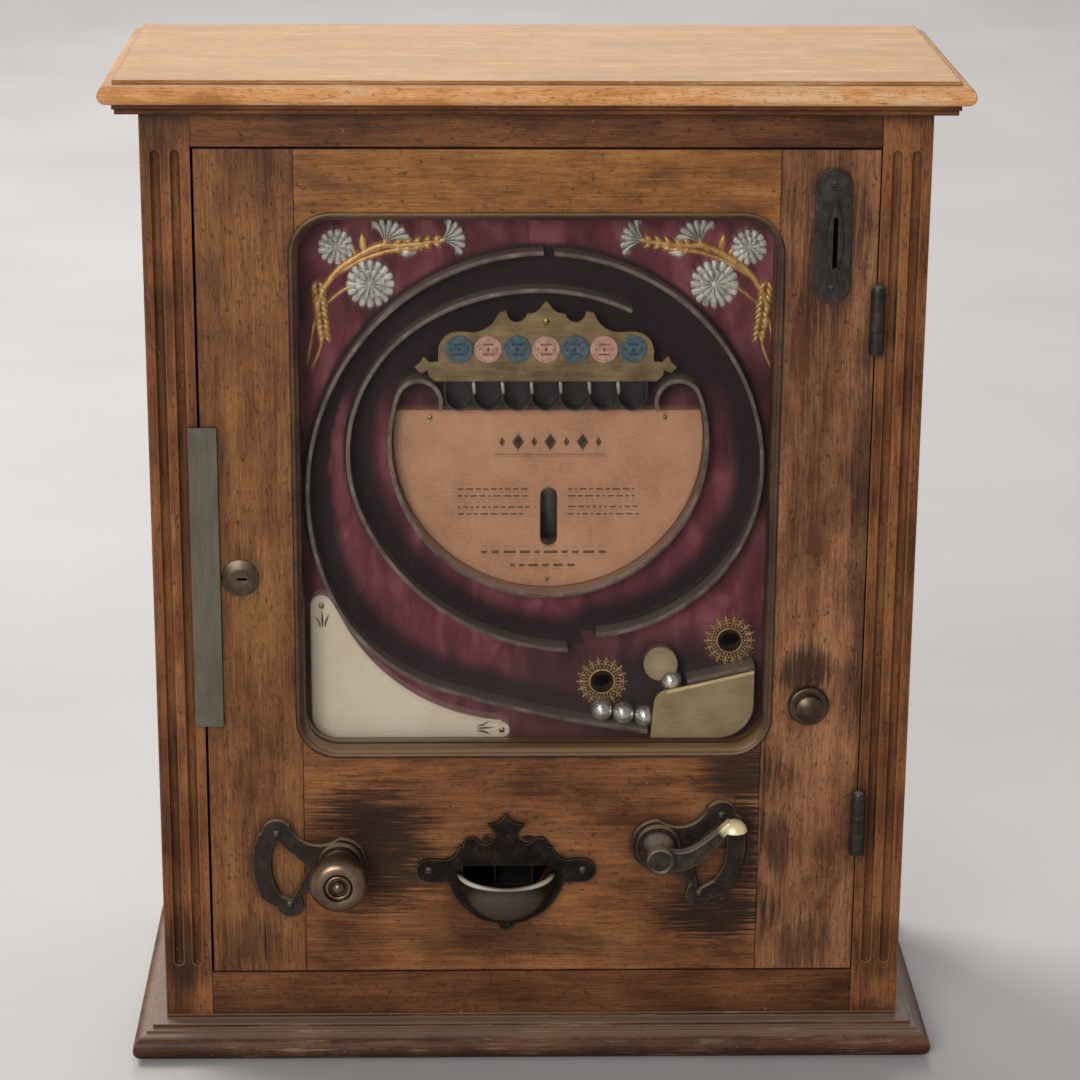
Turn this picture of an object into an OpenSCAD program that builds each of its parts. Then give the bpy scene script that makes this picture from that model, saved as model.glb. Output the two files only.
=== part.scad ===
// Penny arcade machine of the wall-hung ball game kind. A fluted hardwood case has a door
// that carries the glazed playfield, the coin slot, the trigger and the payout gear.
// Millimetres, +Z up, front towards -Y, origin in the middle of the base's underside.

/* [Case] */
// Width across the two pilasters
body_w = 500; // [480:1:540]
// Depth from the pilaster fronts to the back of the case
case_d = 210; // [195:1:240]
// Height from the base board to the underside of the top board
case_h = 630; // [615:1:670]
// Thickness of the base board
base_t = 26; // [24:1:32]
// How far the base nosing stands out at the front and the sides
base_over = 22; // [18:1:28]
// Thickness of the top board
top_t = 15; // [14:0.5:18]
// How far the top board's nosing stands out
top_over = 23; // [19:0.5:28]
// Height of the moulding under the top board
cornice_h = 6.5; // [5:0.5:9]
// How far that moulding stands out
cornice_over = 15; // [12:0.5:17]
// Thickness of the side panels
side_t = 18; // [14:1:20]
// Thickness of the back board
back_t = 10; // [8:1:14]
// Width of a pilaster
pilaster_w = 31.5; // [30:0.5:36]
// Thickness of the pilasters, the case rails and the door
frame_t = 22; // [20:1:25]
// Height of the case's bottom rail
bottom_rail_h = 31.4; // [28:0.2:36]
// Height of the case's top rail
top_rail_h = 29.6; // [27:0.2:34]
// Radius of the cutter that makes a flute
flute_r = 3.4; // [2.6:0.1:3.8]
// Distance between the two flutes of a pilaster
flute_pitch = 12.5; // [10:0.5:14]
// Plain length of pilaster left below and above the flutes
flute_stop = 40; // [30:1:60]
// Radius of a wall screw hole in the back board
wall_hole_r = 4.5; // [3:0.25:6]
// Distance between the wall holes, side to side
wall_span_x = 320; // [240:10:400]
// Distance between the wall holes, bottom to top
wall_span_z = 440; // [300:10:520]

/* [Cash tin] */
// Width of the tin
tin_w = 260; // [200:5:280]
// Depth of the tin
tin_d = 120; // [90:5:130]
// Height of the tin
tin_h = 46; // [30:1:60]
// Wall of the tin
tin_wall = 1.2; // [0.8:0.1:2]

/* [Door] */
// Gap beside the door on its lock side
lock_gap = 1.6; // [1.4:0.1:2.4]
// Gap beside the door on its hinge side
hinge_gap = 0.8; // [0.6:0.1:1.2]
// Gap above and below the door
end_gap = 1; // [0.6:0.1:2]
// Width of a door stile
stile_w = 63; // [60:0.5:68]
// How far the window is cut into the stiles
stile_cut = 4; // [3:0.5:6]
// Height of the door's top rail
door_rail_h = 40.9; // [36:0.1:46]
// Height of the door's bottom panel
panel_h = 155.6; // [152:0.1:162]
// Width of the moulding round the window
mould_w = 5.6; // [5:0.1:7]
// Corner radius of the sight opening
sight_r = 22; // [16:0.5:28]
// Depth from the door front to the glass
glass_d = 12; // [10.5:0.5:13]
// Thickness of the glass
glass_t = 3; // [2:0.5:4]

/* [Hinges and lock] */
// Length of a hinge
hinge_l = 42; // [36:1:50]
// Height of the upper hinge above the door's bottom edge
hinge_high = 456; // [420:1:480]
// Height of the lower hinge above the door's bottom edge
hinge_low = 108; // [80:1:130]
// Radius of a hinge knuckle
knuckle_r = 4.6; // [4:0.1:4.8]
// Radius of a hinge pin
hinge_pin_r = 2; // [1.5:0.1:2.5]
// Thickness of a hinge leaf
leaf_t = 1.2; // [0.8:0.1:1.6]
// Height of the steel strip on the door's edge
strip_h = 206; // [160:1:240]
// Width of that strip
strip_w = 18.5; // [15:0.5:22]
// Thickness of that strip
strip_t = 2; // [1.5:0.1:3]
// Radius of the lock's face
lock_r = 12.5; // [11:0.5:14]
// Length of the lock's cam
cam_l = 34; // [31:1:38]

/* [Playfield] */
// Thickness of the frame between the door and the playfield
surround_t = 12; // [11:0.5:14]
// Width of that frame
surround_w = 22; // [18:1:24]
// Thickness of the velvet
velvet_t = 0.8; // [0.6:0.1:1.2]
// Thickness of the playfield board
board_t = 11.2; // [9:0.2:14]
// How far the ball rails stand out from the velvet
rail_h = 15; // [14:0.5:16]
// Thickness of a ball rail
rail_t = 2.5; // [2:0.1:3]
// Radius of a steel ball
ball_r = 7.3; // [6.5:0.05:7.3]
// Radius of the ring rail round the card
ring_r = 104; // [100:0.5:106]
// Radius of the two arches that end the ring rail
arch_r = 14.5; // [13:0.5:15]
// Radius of a ball hole
hole_r = 8; // [7.5:0.25:9]
// Distance between neighbouring win cups
cup_pitch = 18.8; // [18:0.1:19.6]
// Wall of a win cup
cup_wall = 1.2; // [0.8:0.1:1.6]
// Radius of a token
token_r = 9; // [8:0.1:9.2]
// Radius of the ball gate's disc
gate_r = 11.3; // [10:0.1:12]
// Width of the window slot in the card
slot_w = 11; // [9:0.5:13]
// Length of that slot
slot_l = 40; // [34:0.5:46]

/* [Coin slot and button] */
// Radius of the coin plate's ends
coin_plate_r = 11.6; // [11:0.1:14]
// Length of the coin plate
coin_plate_l = 87.5; // [80:0.5:95]
// Height of the coin slot, for a coin of 31
coin_slot_l = 34; // [32:0.5:36]
// Width of the coin slot
coin_slot_w = 3.2; // [2.8:0.1:4]
// Length of the coin chute behind the door
chute_l = 300; // [250:5:330]
// Radius of the push button
button_r = 9; // [7:0.25:10]
// Travel of the push button
button_travel = 6; // [4:0.5:7]

/* [Trigger and hammer] */
// Radius of a quadrant plate's arc
quadrant_r = 58.8; // [55:0.2:62]
// Radius of a quadrant plate's hub
quadrant_hub_r = 18; // [16:0.5:20]
// Thickness of a quadrant plate
quadrant_t = 4; // [3:0.5:5]
// Radius of the trigger and knob shafts
shaft_r = 5; // [4:0.1:6]
// How far the trigger's hub stands out from the door
lever_out = 33; // [28:0.5:38]
// Radius of the trigger's hub
lever_hub_r = 8.2; // [7.5:0.1:9]
// Radius of the crank on the trigger shaft
crank_r = 12; // [10:0.5:13]
// Length of the hammer's side arm
side_arm = 28; // [26:0.5:30]

/* [Knob and payout] */
// Radius of the payout knob
knob_r = 19.5; // [17:0.5:21]
// How far the knob stands out from the door
knob_out = 49; // [45:0.5:54]
// Radius of the drive pin's circle behind the knob
yoke_r = 16; // [14:0.5:17]
// Radius of the payout cup's bowl
bowl_r = 33.4; // [30:0.2:36]
// Wall of the bowl
bowl_wall = 2.4; // [1.8:0.1:3]
// Radius of the token tube, inside
tube_r = 11; // [10:0.25:12]
// Height of the token tube
tube_h = 240; // [200:5:280]

/* [Clearances] */
// Radial running clearance of a shaft in its bore
run_gap = 0.05; // [0.02:0.01:0.1]
// Gap between pieces that pass or stand beside each other
pass_gap = 0.4; // [0.3:0.05:0.6]
// Room round the open pivot of the trigger link
open_gap = 1.6; // [1.5:0.1:2]
// Room beside the knob's drive pin in its slot
yoke_gap = 0.9; // [0.8:0.05:1.2]

/* [Hidden] */
$fn = 64;

// Wood, metal and cloth colours
oak = "#7a4f2f";
top_oak = "#b98a5c";
black_iron = "#2c2622";
brass = "#8a7b52";
steel = "#9a9a94";
gilt = "#b98a45";
velvet_red = "#5e2438";

// Planes of the case. A depth is counted from the pilaster fronts towards the back.
front_y = (base_over - case_d) / 2;
case_top = base_t + case_h;
open_w = body_w - 2 * pilaster_w;

// Edges of the door and of the window cut in it
door_x0 = -open_w / 2 + lock_gap;
door_x1 = open_w / 2 - hinge_gap;
door_z0 = base_t + bottom_rail_h + end_gap;
door_z1 = case_top - top_rail_h - end_gap;
win_x0 = door_x0 + stile_w - stile_cut;
win_x1 = door_x1 - stile_w + stile_cut;
win_z0 = door_z0 + panel_h;
win_z1 = door_z1 - door_rail_h;
win_r = sight_r + mould_w;

// The playfield's plan is drawn for a window of this size and fitted to the real one
plan_w = 316.6;
plan_h = 370.5;
width_fit = (win_x1 - win_x0) / plan_w;
plan_fit = min(width_fit, (win_z1 - win_z0) / plan_h);

// Depths of the layers behind the door front
velvet_d = frame_t + surround_t;
board_d = velvet_d + velvet_t;
board_back = board_d + board_t;
rail_d = velvet_d - rail_h;
ball_d = velvet_d - ball_r - pass_gap;
cover_t = 1.5;
cover_d = rail_d - cover_t;
cup_d = rail_d + 1;
plaque_t = 1.2;
plaque_d = cup_d - plaque_t;

// Hinge axis and the thirds of a hinge
hinge_x = (door_x1 + open_w / 2) / 2;
hinge_d = -knuckle_r - pass_gap;
hinge_zs = [door_z0 + hinge_low, door_z0 + hinge_high];
leaf_d = frame_t - 4;

// Lock and steel strip
lock_x = door_x0 + 24;
lock_z = door_z0 + 282.6;
lock_barrel_r = lock_r - 3;
lock_plug_r = 6;
cam_d = frame_t + 3;
cam_t = 2;
cam_w = 10;
strip_lap = 6;
strip_x0 = -open_w / 2 - strip_lap;
strip_z0 = door_z0 + 179;

// Coin slot, chute and push button
coin_x = door_x1 - 29.5;
coin_z = door_z1 - 55.6;
coin_plate_t = 2.5;
coin_slot_x = coin_x + 1.5;
coin_slot_z = coin_z - 4;
chute_in_w = 6;
chute_in_d = 36;
chute_wall = 1.2;
button_x = door_x1 - 35;
button_z = win_z0 + 37;
button_out = 12;
bezel_r = button_r + 4.5;
bezel_t = 4;
button_stem_r = 4;
button_collar_r = button_stem_r + 3;

// Trigger, its crank and the hammer
trigger_x = 84 * width_fit;
trigger_z = door_z0 + 93;
trigger_turn = 70;
crank_rest = trigger_turn / 2;
crank_t = 4;
crank_d = frame_t + 1;
crank_pin_r = 2.5;
hammer_x = trigger_x + 4;
hammer_z = win_z0 - 19;
hammer_turn = 28;
side_rest = hammer_turn / 2;
hammer_t = 3.5;
hammer_d = crank_d;
hammer_pin_r = 3;
side_pin_r = 2;
link_d = crank_d + crank_t + pass_gap;
link_t = 2.4;
eye_r = 6.5;
crank_pin = [trigger_x + crank_r * cos(crank_rest), trigger_z + crank_r * sin(crank_rest)];
side_pin = [hammer_x + side_arm * cos(side_rest), hammer_z + side_arm * sin(side_rest)];

// Knob, drive pin and payout slide
knob_x = -130 * width_fit;
knob_z = door_z0 + 80.6;
knob_disc_d = frame_t + 20;
knob_disc_t = 4;
knob_disc_r = yoke_r + 4;
yoke_pin_r = 2.5;
yoke_rest = -45;
yoke_d = knob_disc_d + knob_disc_t + 2;
yoke_t = 3;
yoke_w = 25;
yoke_pin = [knob_x + yoke_r * cos(yoke_rest), knob_z + yoke_r * sin(yoke_rest)];
slide_z = knob_z + 24.4;
slide_t = 2.6;
tube_x = 10;
tube_wall = 1.5;
tube_d = board_back + tube_r + tube_wall + 0.3;
slide_w = 2 * tube_r + 6;
slide_d0 = tube_d - slide_w / 2;
guide_t = 2.5;
shelf_t = 3;
shelf_z = slide_z - pass_gap - shelf_t;
shelf_x0 = -60;
shelf_x1 = 36;

// Payout cup and the way the tokens take to it
cup_x = -18.5;
cup_z = door_z0 + 74.6;
cup_plate_t = 3;
mouth_r = bowl_r - bowl_wall;
drop_w = 2 * tube_r + 2;
drop_x = tube_x - yoke_r * sqrt(2);
chute_x0 = drop_x - drop_w / 2;

// Playfield datum: the places below are counted from the middle of the playfield
// and from the lower edge of the window
field_x = 5.4;
field_z = win_z0;
ring_x = field_x + 3.6;
ring_z = field_z + 211.8;
gate_x = field_x + 79.9 * plan_fit;
gate_z = field_z + 58.3 * plan_fit;
gate_ball_x = gate_x + 7.7;
gate_ball_z = gate_z - 13.3;
gate_t = 4;
gate_d = rail_d + 2;
hole_places = [[field_x + 41.3, field_z + 41.6], [field_x + 126.7, field_z + 70.7]];
plaque_x = field_x + 1.6;
plaque_z = field_z + 255.2;
cups_z = plaque_z - 20.5;
cup_count = 7;
token_z = plaque_z + 21.6;
token_t = 1.2;
card_t = 0.8;
card_top = field_z + 232;
card_slot_z = field_z + 158.5;
card_slot_x = field_x + 4.4;
plate_t = 1.6;

// Runs of the ball rails: a start, a heading and then [radius, turn] for each bend
left_start = [field_x - 0.4, field_z + 340];
left_heading = 181;
left_bends = [[154, 54.6], [170, 60], [119, 46.6], [783, 10.4]];
right_start = [field_x + 6.7, field_z + 339.5];
right_heading = -3;
right_bends = [[145, -85.4], [116, -87.4]];
inner_start = [field_x + 56.9, field_z + 301.8];
inner_heading = 154.5;
inner_bends = [[140, 59], [105, 79.4], [155, 64.8]];
ramp_start = [field_x + 98, field_z + 46.4];
ramp_heading = 13;
ramp_l = 46;

// Shared shapes

// Fits a flat plan, or one place in it, to the window.
module field_plan()
    translate([field_x, field_z])
        scale(plan_fit)
            translate([-field_x, -field_z])
                children();
function on_field(p) = [field_x, field_z] + plan_fit * (p - [field_x, field_z]);

// Draws a flat outline, made in X and Z, as a slab between two depths.
module slab(d0, d1)
    translate([0, front_y + d1, 0])
        rotate([90, 0, 0])
            linear_extrude(d1 - d0)
                children();

// A round bar along the depth, at a place in X and Z.
module bar(x, z, r, d0, d1)
    translate([x, front_y + d1, z])
        rotate([90, 0, 0])
            cylinder(r = r, h = d1 - d0);

// Turns a profile drawn as (radius, distance out of the door) about an axis along the depth.
module turned(x, z)
    translate([x, front_y, z])
        rotate([90, 0, 0])
            rotate_extrude()
                children();

// A rectangle between two corners.
module box2(x0, z0, x1, z1)
    translate([x0, z0])
        square([x1 - x0, z1 - z0]);

// A rectangle between two corners with round corners.
module round_box(x0, z0, x1, z1, r) {
    box2(x0 + r, z0, x1 - r, z1);
    box2(x0, z0 + r, x1, z1 - r);
    for (x = [x0 + r, x1 - r], z = [z0 + r, z1 - r])
        translate([x, z])
            circle(r);
}

// An upright slot shape with round ends, by its middle.
module obround(x, z, w, l) {
    box2(x - w / 2, z - l / 2 + w / 2, x + w / 2, z + l / 2 - w / 2);
    for (end = [-1, 1])
        translate([x, z + end * (l - w) / 2])
            circle(w / 2);
}

// A solid block between two depths.
module block(x0, d0, z0, x1, d1, z1)
    translate([x0, front_y + d0, z0])
        cube([x1 - x0, d1 - d0, z1 - z0]);

// A straight flat bar between two points with round ends.
module bar2(a, b, w) {
    v = b - a;
    translate(a)
        rotate(atan2(v.y, v.x))
            translate([0, -w / 2])
                square([norm(v), w]);
    translate(a)
        circle(w / 2);
    translate(b)
        circle(w / 2);
}

// A leaf shape from the origin along +X.
module leaf(l, w) {
    r = (l * l + w * w) / (4 * w);
    intersection() {
        translate([l / 2, r - w / 2])
            circle(r);
        translate([l / 2, w / 2 - r])
            circle(r);
    }
}

// Points and headings along a run of bends.
bend_step = 3;
function bend_path(p, h, bends, i = 0) =
    i == len(bends) ? [[p.x, p.y, h]] :
    let (r = bends[i][0], turn = bends[i][1], side = sign(turn))
    let (c = p + r * side * [-sin(h), cos(h)])
    let (n = max(2, ceil(abs(turn) / bend_step)))
    concat(
        [for (k = [0:n - 1]) let (a = h + turn * k / n) [
            c.x + r * side * sin(a), c.y - r * side * cos(a), a]],
        bend_path(c + r * side * [sin(h + turn), -cos(h + turn)], h + turn, bends, i + 1));

// A strip of even thickness along such a run.
module strip(path, t)
    polygon(concat(
        [for (q = path) [q.x - t / 2 * sin(q[2]), q.y + t / 2 * cos(q[2])]],
        [for (i = [len(path) - 1:-1:0]) let (q = path[i])
            [q.x + t / 2 * sin(q[2]), q.y - t / 2 * cos(q[2])]]));

// Outline of the opening that is cut through the door for the window.
module window_cut()
    round_box(win_x0, win_z0, win_x1, win_z1, win_r);

// Outline that can be seen through inside the moulding.
module sight_cut()
    round_box(win_x0 + mould_w, win_z0 + mould_w, win_x1 - mould_w, win_z1 - mould_w, sight_r);

// A board with the same edge profile on its front and its two sides. The profile is
// drawn as (distance out, height) and mitres itself where the two runs cross.
module edged_board(z0, z1, over)
    intersection() {
        translate([-body_w / 2 - over, 0, 0])
            rotate([90, 0, 90])
                linear_extrude(body_w + 2 * over) {
                    translate([front_y, 0])
                        mirror([1, 0])
                            children();
                    box2(front_y, z0, front_y + case_d, z1);
                }
        translate([0, front_y + case_d, 0])
            rotate([90, 0, 0])
                linear_extrude(case_d + over) {
                    box2(-body_w / 2, z0, body_w / 2, z1);
                    for (side = [0, 1])
                        mirror([side, 0])
                            translate([body_w / 2, 0])
                                children();
                }
    }

// Case

// The base board has a half-round nosing under two small steps.
nose_r = 9;
base_step = 6;
module plinth_board()
    color(oak)
        edged_board(0, base_t, base_over) {
            box2(-1, 0, base_over - nose_r, base_t - base_step);
            box2(-1, 0, base_over - nose_r - 4, base_t - base_step / 2);
            translate([base_over - nose_r, nose_r])
                circle(nose_r);
        }

// The top board has a stepped upper edge and a half-round nosing.
module top_board() {
    z = case_top;
    step = 2.5;
    r = (top_t - step) / 2;
    color(top_oak)
        edged_board(z, z + top_t, top_over) {
            box2(-1, z, top_over - r, z + 2 * r);
            box2(-1, z, top_over - r - 2.5, z + top_t);
            translate([top_over - r, z + r])
                circle(r);
        }
}

module cornice_moulding() {
    z0 = case_top - cornice_h;
    color(oak)
        difference() {
            edged_board(z0, case_top, cornice_over) {
                box2(-1, z0, cornice_over - 1.5, case_top);
                box2(-1, z0 + cornice_h / 2, cornice_over, case_top);
            }
            block(-body_w / 2, 0, z0 - 1, body_w / 2, case_d + 1, case_top + 1);
        }
}

module side_panel(x0)
    color(oak)
        block(x0, frame_t, base_t, x0 + side_t, case_d, case_top);

module left_side_panel()
    side_panel(-body_w / 2);

module right_side_panel()
    side_panel(body_w / 2 - side_t);

wall_z = base_t + case_h / 2;
module back_board()
    color(oak)
        slab(case_d - back_t, case_d)
            difference() {
                box2(side_t - body_w / 2, base_t, body_w / 2 - side_t, case_top);
                for (x = [-1, 1] * wall_span_x / 2, z = [-1, 1] * wall_span_z / 2)
                    translate([x, wall_z + z])
                        circle(wall_hole_r);
            }

// Round-ended flute, cut by a ball-nosed tool that stands 1 mm out of the face.
module flute(x) {
    z0 = base_t + flute_stop;
    z1 = case_top - cornice_h - flute_stop + 12;
    translate([x, front_y - 1, z0]) {
        cylinder(r = flute_r, h = z1 - z0);
        sphere(flute_r);
    }
    translate([x, front_y - 1, z1])
        sphere(flute_r);
}

module pilaster(side) {
    x_mid = side * (body_w - pilaster_w) / 2;
    color(oak)
        difference() {
            block(x_mid - pilaster_w / 2, 0, base_t, x_mid + pilaster_w / 2, frame_t, case_top);
            for (k = [-0.5, 0.5])
                flute(x_mid + k * flute_pitch);
            if (side > 0)
                for (z = hinge_zs)
                    hinge_mortise(open_w / 2, leaf_t, z);
        }
}

module left_pilaster()
    pilaster(-1);

module right_pilaster()
    pilaster(1);

module case_rails() {
    recess = 0.5;
    color(oak) {
        block(-open_w / 2, recess, base_t, open_w / 2, frame_t, base_t + bottom_rail_h);
        block(-open_w / 2, recess, case_top - top_rail_h, open_w / 2, frame_t, case_top);
    }
}

// Open tin on the floor of the case, under the coin chute.
tin_x1 = body_w / 2 - side_t - 22;
tin_d0 = frame_t + 2;
module cash_tin()
    color("#8d8c84")
        difference() {
            block(tin_x1 - tin_w, tin_d0, base_t, tin_x1, tin_d0 + tin_d, base_t + tin_h);
            block(
                tin_x1 - tin_w + tin_wall, tin_d0 + tin_wall, base_t + tin_wall,
                tin_x1 - tin_wall, tin_d0 + tin_d - tin_wall, base_t + tin_h + 1);
        }

// Hinges

// Room for a leaf in the edge of the door or of the pilaster.
module hinge_mortise(x0, w, z)
    block(x0, -1, z - hinge_l / 2 - 0.1, x0 + w, leaf_d + 0.1, z + hinge_l / 2 + 0.1);

// A length of knuckle between two shares of the hinge's height.
module knuckle(z, from, to)
    translate([hinge_x, front_y + hinge_d, z + hinge_l * from])
        cylinder(r = knuckle_r, h = hinge_l * (to - from));

module pin_bore(z, r)
    translate([hinge_x, front_y + hinge_d, z - hinge_l])
        cylinder(r = r, h = 2 * hinge_l);

third = 1 / 6;
module case_hinge_leaves()
    color(black_iron)
        for (z = hinge_zs)
            difference() {
                union() {
                    knuckle(z, -0.5, -third);
                    knuckle(z, third, 0.5);
                    block(
                        open_w / 2, 0, z - hinge_l / 2, open_w / 2 + leaf_t, leaf_d, z + hinge_l / 2);
                    for (k = [-0.5, third])
                        block(
                            open_w / 2, hinge_d, z + hinge_l * k, open_w / 2 + leaf_t, 1,
                            z + hinge_l * (k + third * 2));
                }
                pin_bore(z, hinge_pin_r);
            }

module door_hinge_leaves() {
    half = hinge_l * third - pass_gap;
    color(black_iron)
        for (z = hinge_zs)
            difference() {
                union() {
                    translate([hinge_x, front_y + hinge_d, z - half])
                        cylinder(r = knuckle_r, h = 2 * half);
                    block(door_x1 - leaf_t, 0, z - hinge_l / 2, door_x1, leaf_d, z + hinge_l / 2);
                    block(door_x1 - leaf_t, hinge_d, z - half, door_x1, 1, z + half);
                }
                pin_bore(z, hinge_pin_r + run_gap);
            }
}

// Each pin has a small round head over its top knuckle.
module hinge_pins()
    color(black_iron)
        for (z = hinge_zs)
            translate([hinge_x, front_y + hinge_d, z - hinge_l / 2]) {
                cylinder(r = hinge_pin_r, h = hinge_l + 2);
                translate([0, 0, hinge_l])
                    intersection() {
                        sphere(knuckle_r - 0.6);
                        cylinder(r = knuckle_r, h = knuckle_r);
                    }
            }

// Door frame

module stile(x0)
    difference() {
        box2(x0, door_z0, x0 + stile_w, door_z1);
        window_cut();
        children();
    }

module door_left_stile()
    color(oak)
        slab(0, frame_t)
            stile(door_x0)
                translate([lock_x, lock_z])
                    circle(lock_barrel_r);

module door_right_stile()
    color(oak)
        difference() {
            slab(0, frame_t) {
                stile(door_x1 - stile_w) {
                    obround(coin_slot_x, coin_slot_z, coin_slot_w + 1, coin_slot_l + 2);
                    translate([button_x, button_z])
                        circle(button_stem_r + run_gap);
                }
                difference() {
                    box2(panel_x1, door_z0, door_x1 - stile_w + 1, win_z0 + win_r);
                    window_cut();
                }
            }
            bar(button_x, button_z, button_r + pass_gap, -1, button_travel + pass_gap);
            for (z = hinge_zs)
                hinge_mortise(door_x1 - leaf_t, leaf_t + 1, z);
        }

module door_top_rail()
    color(oak)
        slab(0, frame_t)
            difference() {
                box2(door_x0 + stile_w, win_z1 - mould_w - win_r, door_x1 - stile_w, door_z1);
                box2(win_x0, win_z0, win_x1, win_z1 - win_r);
                window_cut();
            }

// The right stile is a little wider below the window than above it.
panel_x1 = door_x1 - stile_w - 3;
module door_bottom_panel()
    color(oak)
        slab(0, frame_t)
            difference() {
                box2(door_x0 + stile_w, door_z0, panel_x1, win_z0 + win_r);
                box2(win_x0, win_z0 + win_r - 1, win_x1, win_z1);
                window_cut();
                token_way();
                for (p = [[knob_x, knob_z], [trigger_x, trigger_z]])
                    translate(p)
                        circle(shaft_r + run_gap);
            }

// Opening in the bottom panel behind the payout cup.
module token_way()
    intersection() {
        translate([cup_x, cup_z])
            circle(mouth_r - 2);
        box2(cup_x - bowl_r, cup_z - bowl_r, cup_x + bowl_r, cup_z + 4);
    }

// Cross-section of the window moulding as (distance in from its outer edge, depth):
// a bead, a quirk and a quarter-round that falls to the glass.
module mould_section() {
    bead = 1.6;
    fall = mould_w - 2;
    box2(0, 1.4 + fall, mould_w, glass_d);
    box2(0, 1, 2, glass_d);
    intersection() {
        translate([2, 1.4 + fall])
            circle(fall);
        box2(0, 0, mould_w + 1, glass_d);
    }
    translate([bead, 0.4])
        circle(bead);
}

module mould_run(l)
    linear_extrude(l)
        mould_section();

module window_moulding() {
    span_x = win_x1 - win_x0 - 2 * win_r;
    span_z = win_z1 - win_z0 - 2 * win_r;
    mid_x = (win_x0 + win_x1) / 2;
    mid_z = (win_z0 + win_z1) / 2;
    color(oak)
        translate([mid_x, front_y, mid_z])
            for (k = [0:3]) {
                long = k % 2 == 0 ? span_z : span_x;
                wide = k % 2 == 0 ? span_x : span_z;
                rotate([0, 90 * k, 0]) {
                    translate([-wide / 2 - win_r, 0, -long / 2])
                        mould_run(long);
                    translate([-wide / 2, 0, long / 2])
                        rotate([90, 0, 0])
                            rotate([0, 0, 90])
                                rotate_extrude(angle = 90)
                                    translate([win_r, 0])
                                        mirror([1, 0])
                                            mirror([0, 1])
                                                mould_section();
                }
            }
}

module window_glass() {
    gap = 0.3;
    color([0.8, 0.9, 0.9, 0.25])
        slab(glass_d, glass_d + glass_t)
            round_box(win_x0 + gap, win_z0 + gap, win_x1 - gap, win_z1 - gap, win_r - gap);
}

module glazing_bead()
    color(oak)
        slab(glass_d + glass_t, frame_t)
            difference() {
                window_cut();
                sight_cut();
            }

module door_edge_strip()
    color("#5f5a4c")
        slab(-strip_t, 0)
            box2(strip_x0, strip_z0, strip_x0 + strip_w, strip_z0 + strip_h);

// Lock

module lock_body()
    color(brass)
        difference() {
            union() {
                turned(lock_x, lock_z)
                    intersection() {
                        box2(0, 0, lock_r, 3);
                        translate([0, 3 - 2.6 * lock_r])
                            circle(2.6 * lock_r);
                    }
                bar(lock_x, lock_z, lock_barrel_r, 0, cam_d - pass_gap);
            }
            bar(lock_x, lock_z, lock_plug_r + run_gap, -5, cam_d + 1);
        }

// The plug turns the cam behind the left pilaster. It is shown unlocked, cam down.
module lock_plug()
    color(brass)
        difference() {
            union() {
                bar(lock_x, lock_z, lock_plug_r, -3.4, cam_d + cam_t);
                slab(cam_d, cam_d + cam_t)
                    bar2([lock_x, lock_z], [lock_x, lock_z - cam_l + cam_w / 2], cam_w);
            }
            slab(-5, 4)
                translate([lock_x + 1.4, lock_z])
                    rotate(90)
                        obround(0, 0, 1.8, 7);
        }

// Coin slot and push button

module coin_slot_plate() {
    spine_t = 2.8;
    lips_l = coin_slot_l + 16;
    color(black_iron)
        difference() {
            union() {
                slab(-coin_plate_t, 0)
                    obround(coin_x, coin_z, 2 * coin_plate_r, coin_plate_l);
                slab(-coin_plate_t - spine_t, 0)
                    translate([coin_slot_x, coin_slot_z + 2 - lips_l / 2])
                        rotate(90)
                            leaf(lips_l, 9.5);
            }
            slab(-10, 1)
                obround(coin_slot_x, coin_slot_z, coin_slot_w, coin_slot_l);
            for (z = coin_screw_zs)
                bar(coin_x, z, screw_r + run_gap, -10, 1);
        }
}

// Folded channel down which a coin falls to the tin.
module coin_chute() {
    x0 = coin_slot_x - chute_in_w / 2;
    z1 = coin_slot_z + coin_slot_l / 2 + 8;
    color(steel)
        difference() {
            block(
                x0 - chute_wall, frame_t, z1 - chute_l, x0 + chute_in_w + chute_wall,
                frame_t + chute_in_d + chute_wall, z1);
            block(x0, frame_t - 1, z1 - chute_l - 1, x0 + chute_in_w, frame_t + chute_in_d, z1 - chute_wall);
        }
}

module button_bezel()
    color(brass)
        turned(button_x, button_z)
            difference() {
                union() {
                    box2(0, 0, bezel_r, 2);
                    translate([button_r + 2.4, 2])
                        circle(bezel_t - 2);
                    box2(0, 0, button_r + 2.4, bezel_t);
                }
                box2(-1, -1, button_r + run_gap, bezel_t + 1);
                box2(0, -5, bezel_r + 1, 0);
            }

module push_button()
    color(brass) {
        turned(button_x, button_z)
            intersection() {
                box2(0, 0, button_r, button_out);
                translate([0, button_out - 2 * button_r])
                    circle(2 * button_r);
            }
        bar(button_x, button_z, button_stem_r, 0, frame_t + 5);
        bar(button_x, button_z, button_collar_r, frame_t + pass_gap, frame_t + 3);
    }

// Payout

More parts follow.
